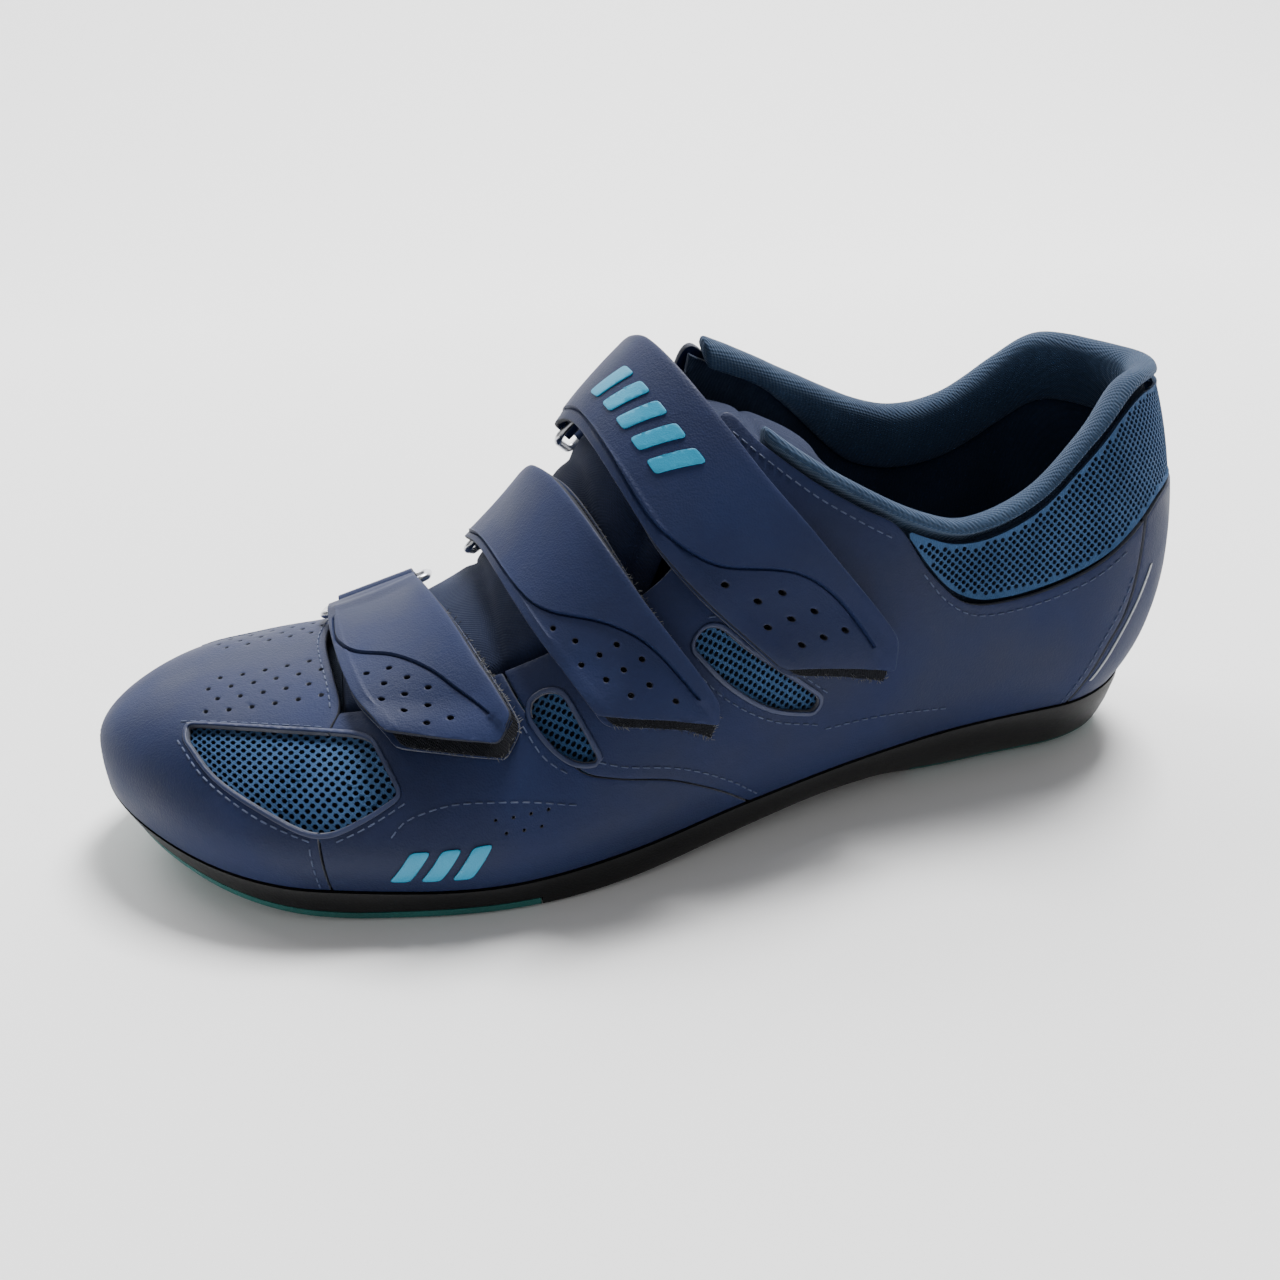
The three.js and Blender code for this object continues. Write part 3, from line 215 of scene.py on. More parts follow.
def lookUpGrid(arc, percent, *grids):
    step = gridArcs[1] - gridArcs[0]
    row = np.clip(np.asarray(arc, float) / step + toeRows, 0, skinPoints.shape[0] - 1.001)
    column = np.clip((np.asarray(percent, float) / 100 + 1) / 2, 0, 1) * (form["gridShares"] - 1)
    column = np.minimum(column, form["gridShares"] - 1.001)
    i, j = row.astype(int), column.astype(int)
    s, t = (row - i)[..., None], (column - j)[..., None]
    return [(g[i, j] * (1 - s) + g[i + 1, j] * s) * (1 - t)
            + (g[i, j + 1] * (1 - s) + g[i + 1, j + 1] * s) * t for g in grids]


def skin(arc, percent, offset):
    # points at an offset from the skin; negative percent is lateral, 0 the ridge, positive medial
    place, normal = lookUpGrid(arc, percent, skinPoints, skinNormals)
    normal = normal / np.maximum(np.linalg.norm(normal, axis=-1, keepdims=True), 1e-12)
    return place + normal * np.asarray(offset, float)[..., None]


def skinNormal(arc, percent):
    normal = lookUpGrid(arc, percent, skinNormals)[0]
    return normal / np.linalg.norm(normal, axis=-1, keepdims=True)


def percentLength(arc, percent):
    # millimetres in one percent of girth
    folded = np.where(np.asarray(arc) > arcLength, 2 * arcLength - arc, np.abs(arc))
    column = np.where((np.asarray(percent) < 0) == (np.asarray(arc) <= arcLength), 0, 1)
    return np.where(column == 0, np.interp(folded, gridArcs, halfGirths[:, 0]),
                    np.interp(folded, gridArcs, halfGirths[:, 1])) / 100


def percentAtHeight(u, side, z):
    # percent of girth, always positive, at which the skin of one side reaches height z
    row = int(round(float(arcAt(u)) / (gridArcs[1] - gridArcs[0]))) + toeRows
    middle = form["gridShares"] // 2
    heights = skinPoints[row, :middle + 1, 2] if side < 0 else skinPoints[row, :middle - 1:-1, 2]
    return float(np.interp(z, heights, np.linspace(100, 0, middle + 1)))


def collarHeight(u, side):
    return float(curve(form["collarLateral" if side < 0 else "collarMedial"], u))


def collarPercent(u, side, dz=0.0):
    return percentAtHeight(u, side, collarHeight(u, side) + dz)


def meshEdgePercent(u, side):
    return percentAtHeight(u, side, collarHeight(u, side) - float(curve(form["collarMeshDepth"], u)))


# outlines in pattern space: (arc, percent) pairs
def place(points, side=1):
    return np.array([(float(arcAt(u)), side * p) for u, p in points])


def shiftedSeam(points, du, dp=0):
    return [(u + du, p + dp) for u, p in points]


def throughPoints(points, step=0.8):
    # centripetal smooth line through the points
    points = np.asarray(points, float)
    if len(points) == 2:
        count = max(2, int(np.linalg.norm(points[1] - points[0]) / step) + 1)
        return points[0] + (points[1] - points[0]) * np.linspace(0, 1, count)[:, None]
    ends = [2 * points[0] - points[1]], [2 * points[-1] - points[-2]]
    p = np.concatenate([ends[0], points, ends[1]])
    made = []
    for k in range(1, len(p) - 2):
        knots = [0.0]
        for a, b in ((k - 1, k), (k, k + 1), (k + 1, k + 2)):
            knots.append(knots[-1] + max(np.linalg.norm(p[b] - p[a]), 1e-6) ** 0.5)
        count = max(2, int(np.linalg.norm(p[k + 1] - p[k]) / step) + 1)
        t = np.linspace(knots[1], knots[2], count, endpoint=False)[:, None]
        mix = lambda a, b, ta, tb: a * (tb - t) / (tb - ta) + b * (t - ta) / (tb - ta)
        a1 = mix(p[k - 1], p[k], knots[0], knots[1])
        a2 = mix(p[k], p[k + 1], knots[1], knots[2])
        a3 = mix(p[k + 1], p[k + 2], knots[2], knots[3])
        b1 = mix(a1, a2, knots[0], knots[2])
        b2 = mix(a2, a3, knots[1], knots[3])
        made.append(mix(b1, b2, knots[1], knots[2]))
    made.append(points[-1:])
    return np.concatenate(made)


def joinRuns(*runs):
    # one closed loop from runs drawn end to end
    whole = np.concatenate(runs)
    keep = [i for i in range(len(whole)) if np.linalg.norm(whole[i] - whole[i - 1]) > 0.05]
    return whole[keep]


def roundCorners(points, radius, steps=5):
    # closed polygon with its corners rounded
    points = np.asarray(points, float)
    made = []
    for k in range(len(points)):
        before, here, after = points[k - 1], points[k], points[(k + 1) % len(points)]
        reachIn = min(radius, np.linalg.norm(before - here) * 0.48)
        reachOut = min(radius, np.linalg.norm(after - here) * 0.48)
        a = here + (before - here) / np.linalg.norm(before - here) * reachIn
        b = here + (after - here) / np.linalg.norm(after - here) * reachOut
        for t in np.linspace(0, 1, steps):
            made.append(a * (1 - t) ** 2 + here * 2 * t * (1 - t) + b * t * t)
    return np.array(made)


def evenly(loop, step):
    closed = np.concatenate([loop, loop[:1]])
    run = np.concatenate([[0], np.cumsum(np.linalg.norm(np.diff(closed, axis=0), axis=1))])
    count = max(3, int(round(run[-1] / step)))
    at = np.linspace(0, run[-1], count, endpoint=False)
    return np.stack([np.interp(at, run, closed[:, 0]), np.interp(at, run, closed[:, 1])], 1)


def insideLoop(points, loop):
    x, y = points[:, 0], points[:, 1]
    found = np.zeros(len(points), bool)
    for (x0, y0), (x1, y1) in zip(loop, np.roll(loop, -1, 0)):
        if y0 == y1:
            continue
        crosses = ((y0 > y) != (y1 > y)) & (x < (x1 - x0) * (y - y0) / (y1 - y0) + x0)
        found ^= crosses
    return found


def circle(centre, radius, sides=8, spaced=True):
    # a round hole in pattern space, round again once it lies on the skin
    scale = float(percentLength(centre[0], centre[1])) if spaced else 1.0
    angles = np.linspace(0, 2 * math.pi, sides, endpoint=False)
    return np.stack([centre[0] + radius * np.cos(angles),
                     centre[1] + radius * np.sin(angles) / scale], 1)


# meshes
def newPiece(name, vertices, faces, materials, faceMaterials=None):
    mesh = bpy.data.meshes.new(name)
    mesh.from_pydata([tuple(v) for v in vertices], [], [tuple(f) for f in faces])
    for material in materials:
        mesh.materials.append(material)
    if faceMaterials is not None:
        mesh.polygons.foreach_set("material_index", np.asarray(faceMaterials, np.int32))
    piece = bpy.data.objects.new(name, mesh)
    bpy.context.scene.collection.objects.link(piece)
    return piece


def toMetres(points):
    return (np.asarray(points) + shift) * mm


def onlySelect(piece):
    bpy.ops.object.select_all(action="DESELECT")
    piece.select_set(True)
    bpy.context.view_layer.objects.active = piece


def editMesh(piece, *steps):
    onlySelect(piece)
    bpy.ops.object.mode_set(mode="EDIT")
    bpy.ops.mesh.select_all(action="SELECT")
    for step in steps:
        step()
    bpy.ops.object.mode_set(mode="OBJECT")


def weld(piece, distance=1e-5):
    editMesh(piece, lambda: bpy.ops.mesh.remove_doubles(threshold=distance),
             lambda: bpy.ops.mesh.normals_make_consistent(inside=False))


def applyModifier(piece, kind, **settings):
    onlySelect(piece)
    modifier = piece.modifiers.new(kind.title(), kind)
    for key, value in settings.items():
        setattr(modifier, key, value)
    bpy.ops.object.modifier_apply(modifier=modifier.name)


def markRims(piece, pairs):
    # the edges that the bevel rounds
    ends = np.empty(len(piece.data.edges) * 2, np.int32)
    piece.data.edges.foreach_get("vertices", ends)
    wanted = {tuple(sorted(pair)) for pair in pairs}
    weights = piece.data.attributes.new("bevel_weight_edge", "FLOAT", "EDGE")
    weights.data.foreach_set("value", [float(tuple(sorted(pair)) in wanted)
                                       for pair in ends.reshape(-1, 2).tolist()])


def finishEdges(piece, width=0.22, segments=2, angle=42):
    if width:
        marked = "bevel_weight_edge" in piece.data.attributes
        applyModifier(piece, "BEVEL", width=width * mm, segments=segments,
                      limit_method="WEIGHT" if marked else "ANGLE",
                      angle_limit=math.radians(angle), use_clamp_overlap=False, harden_normals=False)
    onlySelect(piece)
    bpy.ops.object.shade_smooth_by_angle(angle=math.radians(48))


def asField(value, points):
    return value(points[:, 0], points[:, 1]) if callable(value) else np.full(len(points), float(value))


def cutSheet(name, outline, cuts, materials, outer, inner, spacing=1.3, edgeStep=0.9, mapping=skin,
             zippedArc=None, lowered=0.0, scaled=True, bevel=0.22, creases=()):
    # Sheet of some thickness cut to an outline, with openings, and laid on the form.
    outline = evenly(outline, edgeStep) if edgeStep else outline
    cuts = list(cuts)
    fixed = [outline, *cuts]
    count = 0
    edges = []
    for loop in fixed:
        edges += [(count + i, count + (i + 1) % len(loop)) for i in range(len(loop))]
        count += len(loop)
    for line in creases:
        edges += [(count + i, count + i + 1) for i in range(len(line) - 1)]
        count += len(line)
    boundary = np.concatenate([*fixed, *creases])
    low, high = outline.min(0), outline.max(0)
    inner2d = []
    rowAt, odd = low[0] + spacing * 0.5, False
    while rowAt < high[0]:
        step = spacing * 1.1 / (float(percentLength(rowAt, (low[1] + high[1]) / 2)) if scaled else 1.0)
        across = np.arange(low[1] + (0.5 if odd else 0.0) * step, high[1], step)
        inner2d.append(np.stack([np.full(len(across), rowAt), across], 1))
        rowAt += spacing
        odd = not odd
    inner2d = np.concatenate(inner2d)
    inner2d = inner2d[insideLoop(inner2d, outline)]
    tree = kdtree.KDTree(len(boundary))
    for i, (x, y) in enumerate(boundary):
        tree.insert((x, y, 0), i)
    tree.balance()
    apart = np.array([tree.find((x, y, 0))[2] > 0.42 * spacing for x, y in inner2d], bool)
    inner2d = inner2d[apart]
    whole = np.concatenate([boundary, inner2d])
    found = geometry.delaunay_2d_cdt([Vector(p) for p in whole], edges, [], 0, 1e-5, False)
    flat = np.array([tuple(v) for v in found[0]])
    triangles = np.array([f for f in found[2] if len(f) == 3], int)
    centres = flat[triangles].mean(1)
    keep = insideLoop(centres, outline)
    for loop in cuts:
        near = keep & (np.abs(centres - loop.mean(0)) < (np.ptp(loop, axis=0) / 2 + 1.5)).all(1)
        index = np.nonzero(near)[0]
        keep[index[insideLoop(centres[index], loop)]] = False
    triangles = triangles[keep]
    used, triangles = np.unique(triangles, return_inverse=True)
    triangles = triangles.reshape(-1, 3)
    flat = flat[used]
    corner = flat[triangles]
    turn = ((corner[:, 1] - corner[:, 0])[:, 0] * (corner[:, 2] - corner[:, 0])[:, 1]
            - (corner[:, 1] - corner[:, 0])[:, 1] * (corner[:, 2] - corner[:, 0])[:, 0])
    triangles[turn < 0] = triangles[turn < 0][:, ::-1]
    top = asField(outer, flat)
    bottom = asField(inner, flat)
    if lowered and len(cuts):
        holes = np.concatenate(cuts)
        holeTree = kdtree.KDTree(len(holes))
        for i, (x, y) in enumerate(holes):
            holeTree.insert((x, y, 0), i)
        holeTree.balance()
        onHole = np.array([holeTree.find((x, y, 0))[2] < 0.02 for x, y in flat])
        top = top - lowered * onHole
    seen = {}
    for a, b, c in triangles:
        for p, q in ((a, b), (b, c), (c, a)):
            seen[(p, q)] = True
    count = len(flat)
    faces = [tuple(t) for t in triangles] + [tuple(t[::-1] + count) for t in triangles]
    kinds = [0] * len(faces)
    rims = []
    for p, q in seen:
        if (q, p) in seen:
            continue
        if zippedArc is not None and max(abs(flat[p][0] - zippedArc), abs(flat[q][0] - zippedArc)) < 0.02:
            continue
        faces.append((q, p, p + count, q + count))
        rims += [(p, q), (p + count, q + count)]
        kinds.append(1)
    vertices = np.concatenate([mapping(flat[:, 0], flat[:, 1], top), mapping(flat[:, 0], flat[:, 1], bottom)])
    piece = newPiece(name, toMetres(vertices), faces, materials, kinds)
    markRims(piece, rims)
    if zippedArc is not None:
        weld(piece, 2e-5)
    finishEdges(piece, bevel)
    return piece


def gridShell(name, surface, rows, columns, materials, zipStart=False, zipEnd=False, bevel=0.0):
    # closed shell from surface(s, r, side), where side 0 is the outer face and side 1 the inner one
    s, r = np.meshgrid(np.linspace(0, 1, rows + 1), np.linspace(0, 1, columns + 1), indexing="ij")
    points = np.concatenate([surface(s, r, side).reshape(-1, 3) for side in (0, 1)])
    index = np.arange((rows + 1) * (columns + 1)).reshape(rows + 1, columns + 1)
    below = index + index.size
    faces = []
    for i in range(rows):
        for j in range(columns):
            faces.append((index[i, j], index[i + 1, j], index[i + 1, j + 1], index[i, j + 1]))
            faces.append((below[i, j], below[i, j + 1], below[i + 1, j + 1], below[i + 1, j]))
        faces.append((index[i + 1, 0], index[i, 0], below[i, 0], below[i + 1, 0]))
        faces.append((index[i, columns], index[i + 1, columns], below[i + 1, columns], below[i, columns]))
    for j in range(columns):
        if not zipStart:
            faces.append((index[0, j], index[0, j + 1], below[0, j + 1], below[0, j]))
        if not zipEnd:
            faces.append((index[rows, j + 1], index[rows, j], below[rows, j], below[rows, j + 1]))
    piece = newPiece(name, toMetres(points), faces, materials)
    weld(piece, 1e-5)
    finishEdges(piece, bevel)
    return piece


# materials
def shaderGroup(name, inputs, outputs):
    group = bpy.data.node_groups.new(name, "ShaderNodeTree")
    for socketName, kind, value in inputs:
        socket = group.interface.new_socket(socketName, in_out="INPUT", socket_type=kind)
        socket.default_value = value
    for socketName, kind in outputs:
        group.interface.new_socket(socketName, in_out="OUTPUT", socket_type=kind)
    return group, group.nodes.new("NodeGroupInput"), group.nodes.new("NodeGroupOutput")


def addNode(tree, kind, links=(), **settings):
    # settings are the node's attributes; a link is a number for an input or a socket to join to it
    node = tree.nodes.new(kind)
    for key, value in settings.items():
        setattr(node, key, value)
    for target, source in dict(links).items():
        if isinstance(source, (int, float, tuple)):
            node.inputs[target].default_value = source
        else:
            tree.links.new(source, node.inputs[target])
    return node


def makeGrainGroup():
    # fine pebbled grain and slow colour drift, in object space
    group, given, out = shaderGroup(
        "fineGrain", [("Scale", "NodeSocketFloat", 1.0), ("Drift", "NodeSocketFloat", 1.0)],
        [("Height", "NodeSocketFloat"), ("Tone", "NodeSocketFloat")])
    place3d = addNode(group, "ShaderNodeTexCoord")
    sized = addNode(group, "ShaderNodeVectorMath", {0: place3d.outputs["Object"], 3: given.outputs["Scale"]},
                    operation="SCALE")
    pebbles = addNode(group, "ShaderNodeTexVoronoi", {"Vector": sized.outputs[0], "Scale": 2200.0},
                      feature="F1")
    pores = addNode(group, "ShaderNodeTexNoise", {"Vector": sized.outputs[0], "Scale": 900.0, "Detail": 3.0})
    drift = addNode(group, "ShaderNodeTexNoise", {"Vector": sized.outputs[0], "Scale": 38.0, "Detail": 4.0})
    height = addNode(group, "ShaderNodeMath", {0: pebbles.outputs["Distance"], 1: pores.outputs["Fac"]},
                     operation="ADD")
    tone = addNode(group, "ShaderNodeMapRange", {"Value": drift.outputs["Fac"], "From Min": 0.35,
                                                 "From Max": 0.65, "To Min": -1.0, "To Max": 1.0})
    driftTone = addNode(group, "ShaderNodeMath", {0: tone.outputs[0], 1: given.outputs["Drift"]},
                        operation="MULTIPLY")
    group.links.new(height.outputs[0], out.inputs["Height"])
    group.links.new(driftTone.outputs[0], out.inputs["Tone"])
    return group


def makeWeaveGroup():
    # over-and-under yarns along two directions
    group, given, out = shaderGroup(
        "weave", [("Pitch", "NodeSocketFloat", 1.0)],
        [("Height", "NodeSocketFloat"), ("Gap", "NodeSocketFloat")])
    place3d = addNode(group, "ShaderNodeTexCoord")
    perMetre = addNode(group, "ShaderNodeMath", {0: 6283.0, 1: given.outputs["Pitch"]}, operation="DIVIDE")
    sized = addNode(group, "ShaderNodeVectorMath", {0: place3d.outputs["Object"], 3: perMetre.outputs[0]},
                    operation="SCALE")
    axes = addNode(group, "ShaderNodeSeparateXYZ", {0: sized.outputs[0]})
    waves = []
    along = addNode(group, "ShaderNodeMath", {0: axes.outputs["X"], 1: axes.outputs["Z"]}, operation="ADD")
    over = addNode(group, "ShaderNodeMath", {0: axes.outputs["Y"], 1: axes.outputs["Z"]},
                   operation="SUBTRACT")
    for source in (along, over):
        waves.append(addNode(group, "ShaderNodeMath", {0: source.outputs[0]}, operation="SINE"))
    product = addNode(group, "ShaderNodeMath", {0: waves[0].outputs[0], 1: waves[1].outputs[0]},
                      operation="MULTIPLY")
    height = addNode(group, "ShaderNodeMapRange", {"Value": product.outputs[0], "From Min": -1.0})
    gap = addNode(group, "ShaderNodeMapRange", {"Value": product.outputs[0], "From Min": -1.0,
                                                "From Max": -0.4, "To Min": 1.0, "To Max": 0.0})
    group.links.new(height.outputs[0], out.inputs["Height"])
    group.links.new(gap.outputs[0], out.inputs["Gap"])
    return group


def makeDustGroup():
    # pale dust that settles on upward faces, in patches
    group, given, out = shaderGroup(
        "dust", [("Color", "NodeSocketColor", (0.1, 0.1, 0.1, 1)), ("Amount", "NodeSocketFloat", 0.1)],
        [("Color", "NodeSocketColor"), ("Mask", "NodeSocketFloat")])
    place3d = addNode(group, "ShaderNodeTexCoord")
    facing = addNode(group, "ShaderNodeNewGeometry")
    up = addNode(group, "ShaderNodeSeparateXYZ", {0: facing.outputs["Normal"]})
    raised = addNode(group, "ShaderNodeMapRange", {"Value": up.outputs["Z"], "From Min": -0.2})
    patches = addNode(group, "ShaderNodeTexNoise", {"Vector": place3d.outputs["Object"], "Scale": 60.0,
                                                    "Detail": 6.0, "Roughness": 0.7})
    sparse = addNode(group, "ShaderNodeMapRange", {"Value": patches.outputs["Fac"], "From Min": 0.42,
                                                   "From Max": 0.8})
    both = addNode(group, "ShaderNodeMath", {0: raised.outputs[0], 1: sparse.outputs[0]},
                   operation="MULTIPLY")
    mask = addNode(group, "ShaderNodeMath", {0: both.outputs[0], 1: given.outputs["Amount"]},
                   operation="MULTIPLY")
    mixed = addNode(group, "ShaderNodeMix", {0: mask.outputs[0], 6: given.outputs["Color"],
                                             7: (0.42, 0.44, 0.46, 1.0)}, data_type="RGBA")
    group.links.new(mixed.outputs[2], out.inputs["Color"])
    group.links.new(mask.outputs[0], out.inputs["Mask"])
    return group


grainGroup = makeGrainGroup()
weaveGroup = makeWeaveGroup()
dustGroup = makeDustGroup()


def useGroup(tree, group, **values):
    node = tree.nodes.new("ShaderNodeGroup")
    node.node_tree = group
    for key, value in values.items():
        node.inputs[key].default_value = value
    return node


def startMaterial(name, roughness, metallic=0.0, sheen=0.0, specular=0.5):
    material = bpy.data.materials.new(name)
    material.use_nodes = True
    tree = material.node_tree
    shader = tree.nodes["Principled BSDF"]
    shader.inputs["Roughness"].default_value = roughness
    shader.inputs["Metallic"].default_value = metallic
    shader.inputs["Specular IOR Level"].default_value = specular
    if sheen:
        shader.inputs["Sheen Weight"].default_value = sheen
        shader.inputs["Sheen Roughness"].default_value = 0.45
        shader.inputs["Sheen Tint"].default_value = (0.55, 0.65, 0.85, 1)
    return material, tree, shader


def tinted(tree, tone, dark, light):
    # colour between two shades by a tone from -1 to 1
    share = addNode(tree, "ShaderNodeMapRange", {"Value": tone, "From Min": -1.0})
    mixed = addNode(tree, "ShaderNodeMix", {0: share.outputs[0], 6: (*dark, 1), 7: (*light, 1)},
                    data_type="RGBA")
    return mixed.outputs[2]


def addBump(tree, shader, height, distance, strength=1.0):
    bump = addNode(tree, "ShaderNodeBump", {"Height": height, "Strength": strength, "Distance": distance})
    tree.links.new(bump.outputs[0], shader.inputs["Normal"])


def grainMaterial(name, dark, light, roughness, grainScale=1.0, bump=0.00006, dust=0.1, sheen=0.0,
                  specular=0.5, roughSpread=0.08):
    # pebbled sheet or moulding: microfibre, rubber, nylon, fibre board
    material, tree, shader = startMaterial(name, roughness, 0.0, sheen, specular)
    grain = useGroup(tree, grainGroup, Scale=grainScale, Drift=1.0)
    dusted = useGroup(tree, dustGroup, Amount=dust)
    tree.links.new(tinted(tree, grain.outputs["Tone"], dark, light), dusted.inputs["Color"])
    tree.links.new(dusted.outputs["Color"], shader.inputs["Base Color"])
    rough = addNode(tree, "ShaderNodeMapRange", {"Value": grain.outputs["Tone"], "From Min": -1.0,
                                                 "To Min": roughness - roughSpread,
                                                 "To Max": roughness + roughSpread})
    tree.links.new(rough.outputs[0], shader.inputs["Roughness"])
    addBump(tree, shader, grain.outputs["Height"], bump)
    return material


def wovenMaterial(name, dark, light, pitch, roughness=0.85, bump=0.0002, sheen=0.3, dust=0.05, gapShade=0.5):
    # knitted or woven cloth
    material, tree, shader = startMaterial(name, roughness, 0.0, sheen, 0.25)
    weave = useGroup(tree, weaveGroup, Pitch=pitch)
    grain = useGroup(tree, grainGroup, Scale=1.6, Drift=1.0)
    yarn = tinted(tree, grain.outputs["Tone"], dark, light)
    # painted shade: the gaps between the yarns are mixed towards a much darker colour
    shade = addNode(tree, "ShaderNodeMath", {0: weave.outputs["Gap"], 1: gapShade}, operation="MULTIPLY")
    gapShadeColour = tuple(0.25 * c for c in dark)
    woven = addNode(tree, "ShaderNodeMix", {0: shade.outputs[0], 6: yarn, 7: (*gapShadeColour, 1)}, data_type="RGBA")
    dusted = useGroup(tree, dustGroup, Amount=dust)
    tree.links.new(woven.outputs[2], dusted.inputs["Color"])
    tree.links.new(dusted.outputs["Color"], shader.inputs["Base Color"])
    fibres = addNode(tree, "ShaderNodeMath", {0: grain.outputs["Height"], 1: 0.25}, operation="MULTIPLY")
    height = addNode(tree, "ShaderNodeMath", {0: weave.outputs["Height"], 1: fibres.outputs[0]},
                     operation="ADD")
    addBump(tree, shader, height.outputs[0], bump)
    return material


def metalMaterial(name, color, roughness, scratch=0.00002):
    # drawn wire and turned steel, with fine drawing marks
    material, tree, shader = startMaterial(name, roughness, 1.0)
    grain = useGroup(tree, grainGroup, Scale=0.8, Drift=1.0)
    dull = tuple(0.72 * c for c in color)
    tree.links.new(tinted(tree, grain.outputs["Tone"], dull, color), shader.inputs["Base Color"])
    rough = addNode(tree, "ShaderNodeMapRange", {"Value": grain.outputs["Tone"], "From Min": -1.0,
                                                 "To Min": roughness - 0.08, "To Max": roughness + 0.14})
    tree.links.new(rough.outputs[0], shader.inputs["Roughness"])
    addBump(tree, shader, grain.outputs["Height"], scratch)
    return material


navy = grainMaterial("navyMicrofibre", (0.0046, 0.0105, 0.043), (0.0072, 0.0152, 0.060), 0.6, bump=0.00005,
                     dust=0.012, sheen=0.02, specular=0.24)
# darker navy on the flaps' side faces and vent walls: painted shade for the shadow along the flap edges
flapEdgeShade = grainMaterial("flapEdgeShade", (0.002, 0.004, 0.013), (0.004, 0.007, 0.02), 0.8, 2.0, 0.0001, 0.05)
tongueCloth = wovenMaterial("tongueCloth", (0.004, 0.009, 0.032), (0.007, 0.014, 0.046), 0.7, bump=0.0001,
                            sheen=0.04, dust=0.02)
reflective = grainMaterial("reflectiveTape", (0.16, 0.18, 0.21), (0.26, 0.28, 0.31), 0.35, 1.2, 0.00003, 0.05)
cutEdge = grainMaterial("cutEdge", (0.035, 0.042, 0.065), (0.09, 0.095, 0.12), 0.85, 2.0, 0.00012, 0.12)
rimFilm = grainMaterial("rimFilm", (0.008, 0.016, 0.056), (0.012, 0.022, 0.074), 0.45, 1.5, 0.00003, 0.02)
knit = wovenMaterial("knitMesh", (0.020, 0.062, 0.15), (0.032, 0.088, 0.20), 0.5, bump=0.00012, sheen=0.08)
# darker knit colour on the walls of the knit holes and the insert rims: painted shade in the holes
knitEdgeShade = wovenMaterial("knitEdgeShade", (0.009, 0.027, 0.068), (0.014, 0.038, 0.09), 0.5, sheen=0.05)
liningCloth = wovenMaterial("liningCloth", (0.006, 0.014, 0.034), (0.010, 0.022, 0.05), 0.9, bump=0.0001,
                            sheen=0.1)
collarCloth = wovenMaterial("collarCloth", (0.012, 0.030, 0.066), (0.019, 0.044, 0.09), 1.15, bump=0.0002,
                            sheen=0.2)
# near-black pile: partly the hook-and-loop's own dark colour, partly painted shade for the drop shadow under
# the flap tips
hookLoopAndShade = wovenMaterial("hookLoopAndShade", (0.0015, 0.002, 0.005), (0.003, 0.0045, 0.01), 0.6, bump=0.0004,
                         sheen=0.03, dust=0.01)
fuzz = grainMaterial("loopFuzz", (0.008, 0.011, 0.022), (0.15, 0.15, 0.145), 0.9, 3.0, 0.0, 0.15)
thread = grainMaterial("thread", (0.022, 0.036, 0.09), (0.045, 0.065, 0.135), 0.6, 3.0, 0.00003, 0.15)
nylon = grainMaterial("soleNylon", (0.002, 0.002, 0.0025), (0.004, 0.004, 0.0045), 0.45, 0.7, 0.00004, 0.03,
                      specular=0.25)
padRubber = grainMaterial("padRubber", (0.002, 0.075, 0.068), (0.004, 0.11, 0.098), 0.6, 0.8, 0.0001, 0.15)
accent = grainMaterial("accentPrint", (0.001, 0.22, 0.38), (0.002, 0.27, 0.45), 0.42, 1.5, 0.00003, 0.03)
wireSteel = metalMaterial("wireSteel", (0.66, 0.67, 0.70), 0.24)
insertSteel = metalMaterial("insertSteel", (0.55, 0.55, 0.57), 0.38, 0.00004)
boardFibre = grainMaterial("boardFibre", (0.26, 0.22, 0.17), (0.36, 0.31, 0.24), 0.85, 0.6, 0.0001, 0.1)
stiffSheet = grainMaterial("stiffSheet", (0.42, 0.40, 0.35), (0.52, 0.50, 0.45), 0.8, 0.9, 0.00008, 0.1)
foam = grainMaterial("footbedFoam", (0.012, 0.02, 0.04), (0.02, 0.03, 0.055), 0.9, 0.6, 0.00015, 0.1)
print("materials ready")


def settle(piece, body, slotName, *nodes):
    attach(piece, body)
    if nodes:
        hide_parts(*nodes)
    print("piece", piece.name, len(piece.data.polygons))
    return piece


sides = (("lateral", -1), ("medial", 1))

# windows and the knitted inserts behind them
windowEdges = {
    "toe": ([(26, 47), (32, 61), (42, 71), (53, 78), (62, 74), (70.5, 68)],
            [(25, 40), (36, 41.5), (48, 44.5), (57, 47), (63, 49), (67, 52)]),
    "front": ([(100.5, 57), (104.5, 66), (109, 71.5), (113.5, 73.5)],
              [(101, 53.5), (103.5, 53), (106, 54), (108.5, 57)]),
    "rear": ([(137, 61.5), (145, 72), (155, 80), (167, 84.5)],
             [(138.5, 59.5), (143, 60.5), (150, 67.5), (167.5, 82)]),
}
knitting = {
    "toe": {"pitch": 2.35, "hole": 0.66},
    "front": {"pitch": 2.2, "hole": 0.62},
    "rear": {"pitch": 2.2, "hole": 0.62},
    "collar": {"pitch": 2.0, "hole": 0.62},
    "margin": 3, "sides": 6, "sunk": 0.3,
}


def windowLoop(name, side, rounding=1.5):
    low, high = windowEdges[name]
    lowRun = throughPoints(place(low, side), 1.5)
    highRun = throughPoints(place(high, side), 1.5)
    loop = joinRuns(lowRun, highRun[::-1])
    smoothed = roundCorners(loop[::2], rounding, 3)
    return evenly(smoothed, 0.9)


def grownLoop(name, side):
    low, high = windowEdges[name]
    margin = knitting["margin"]

    def grown(points, percent):
        last = len(points) - 1
        return [(u + (-margin if i == 0 else margin if i == last else 0), p + percent)
                for i, (u, p) in enumerate(points)]

    return joinRuns(throughPoints(place(grown(low, margin), side)),
                    throughPoints(place(grown(high, -margin), side))[::-1])


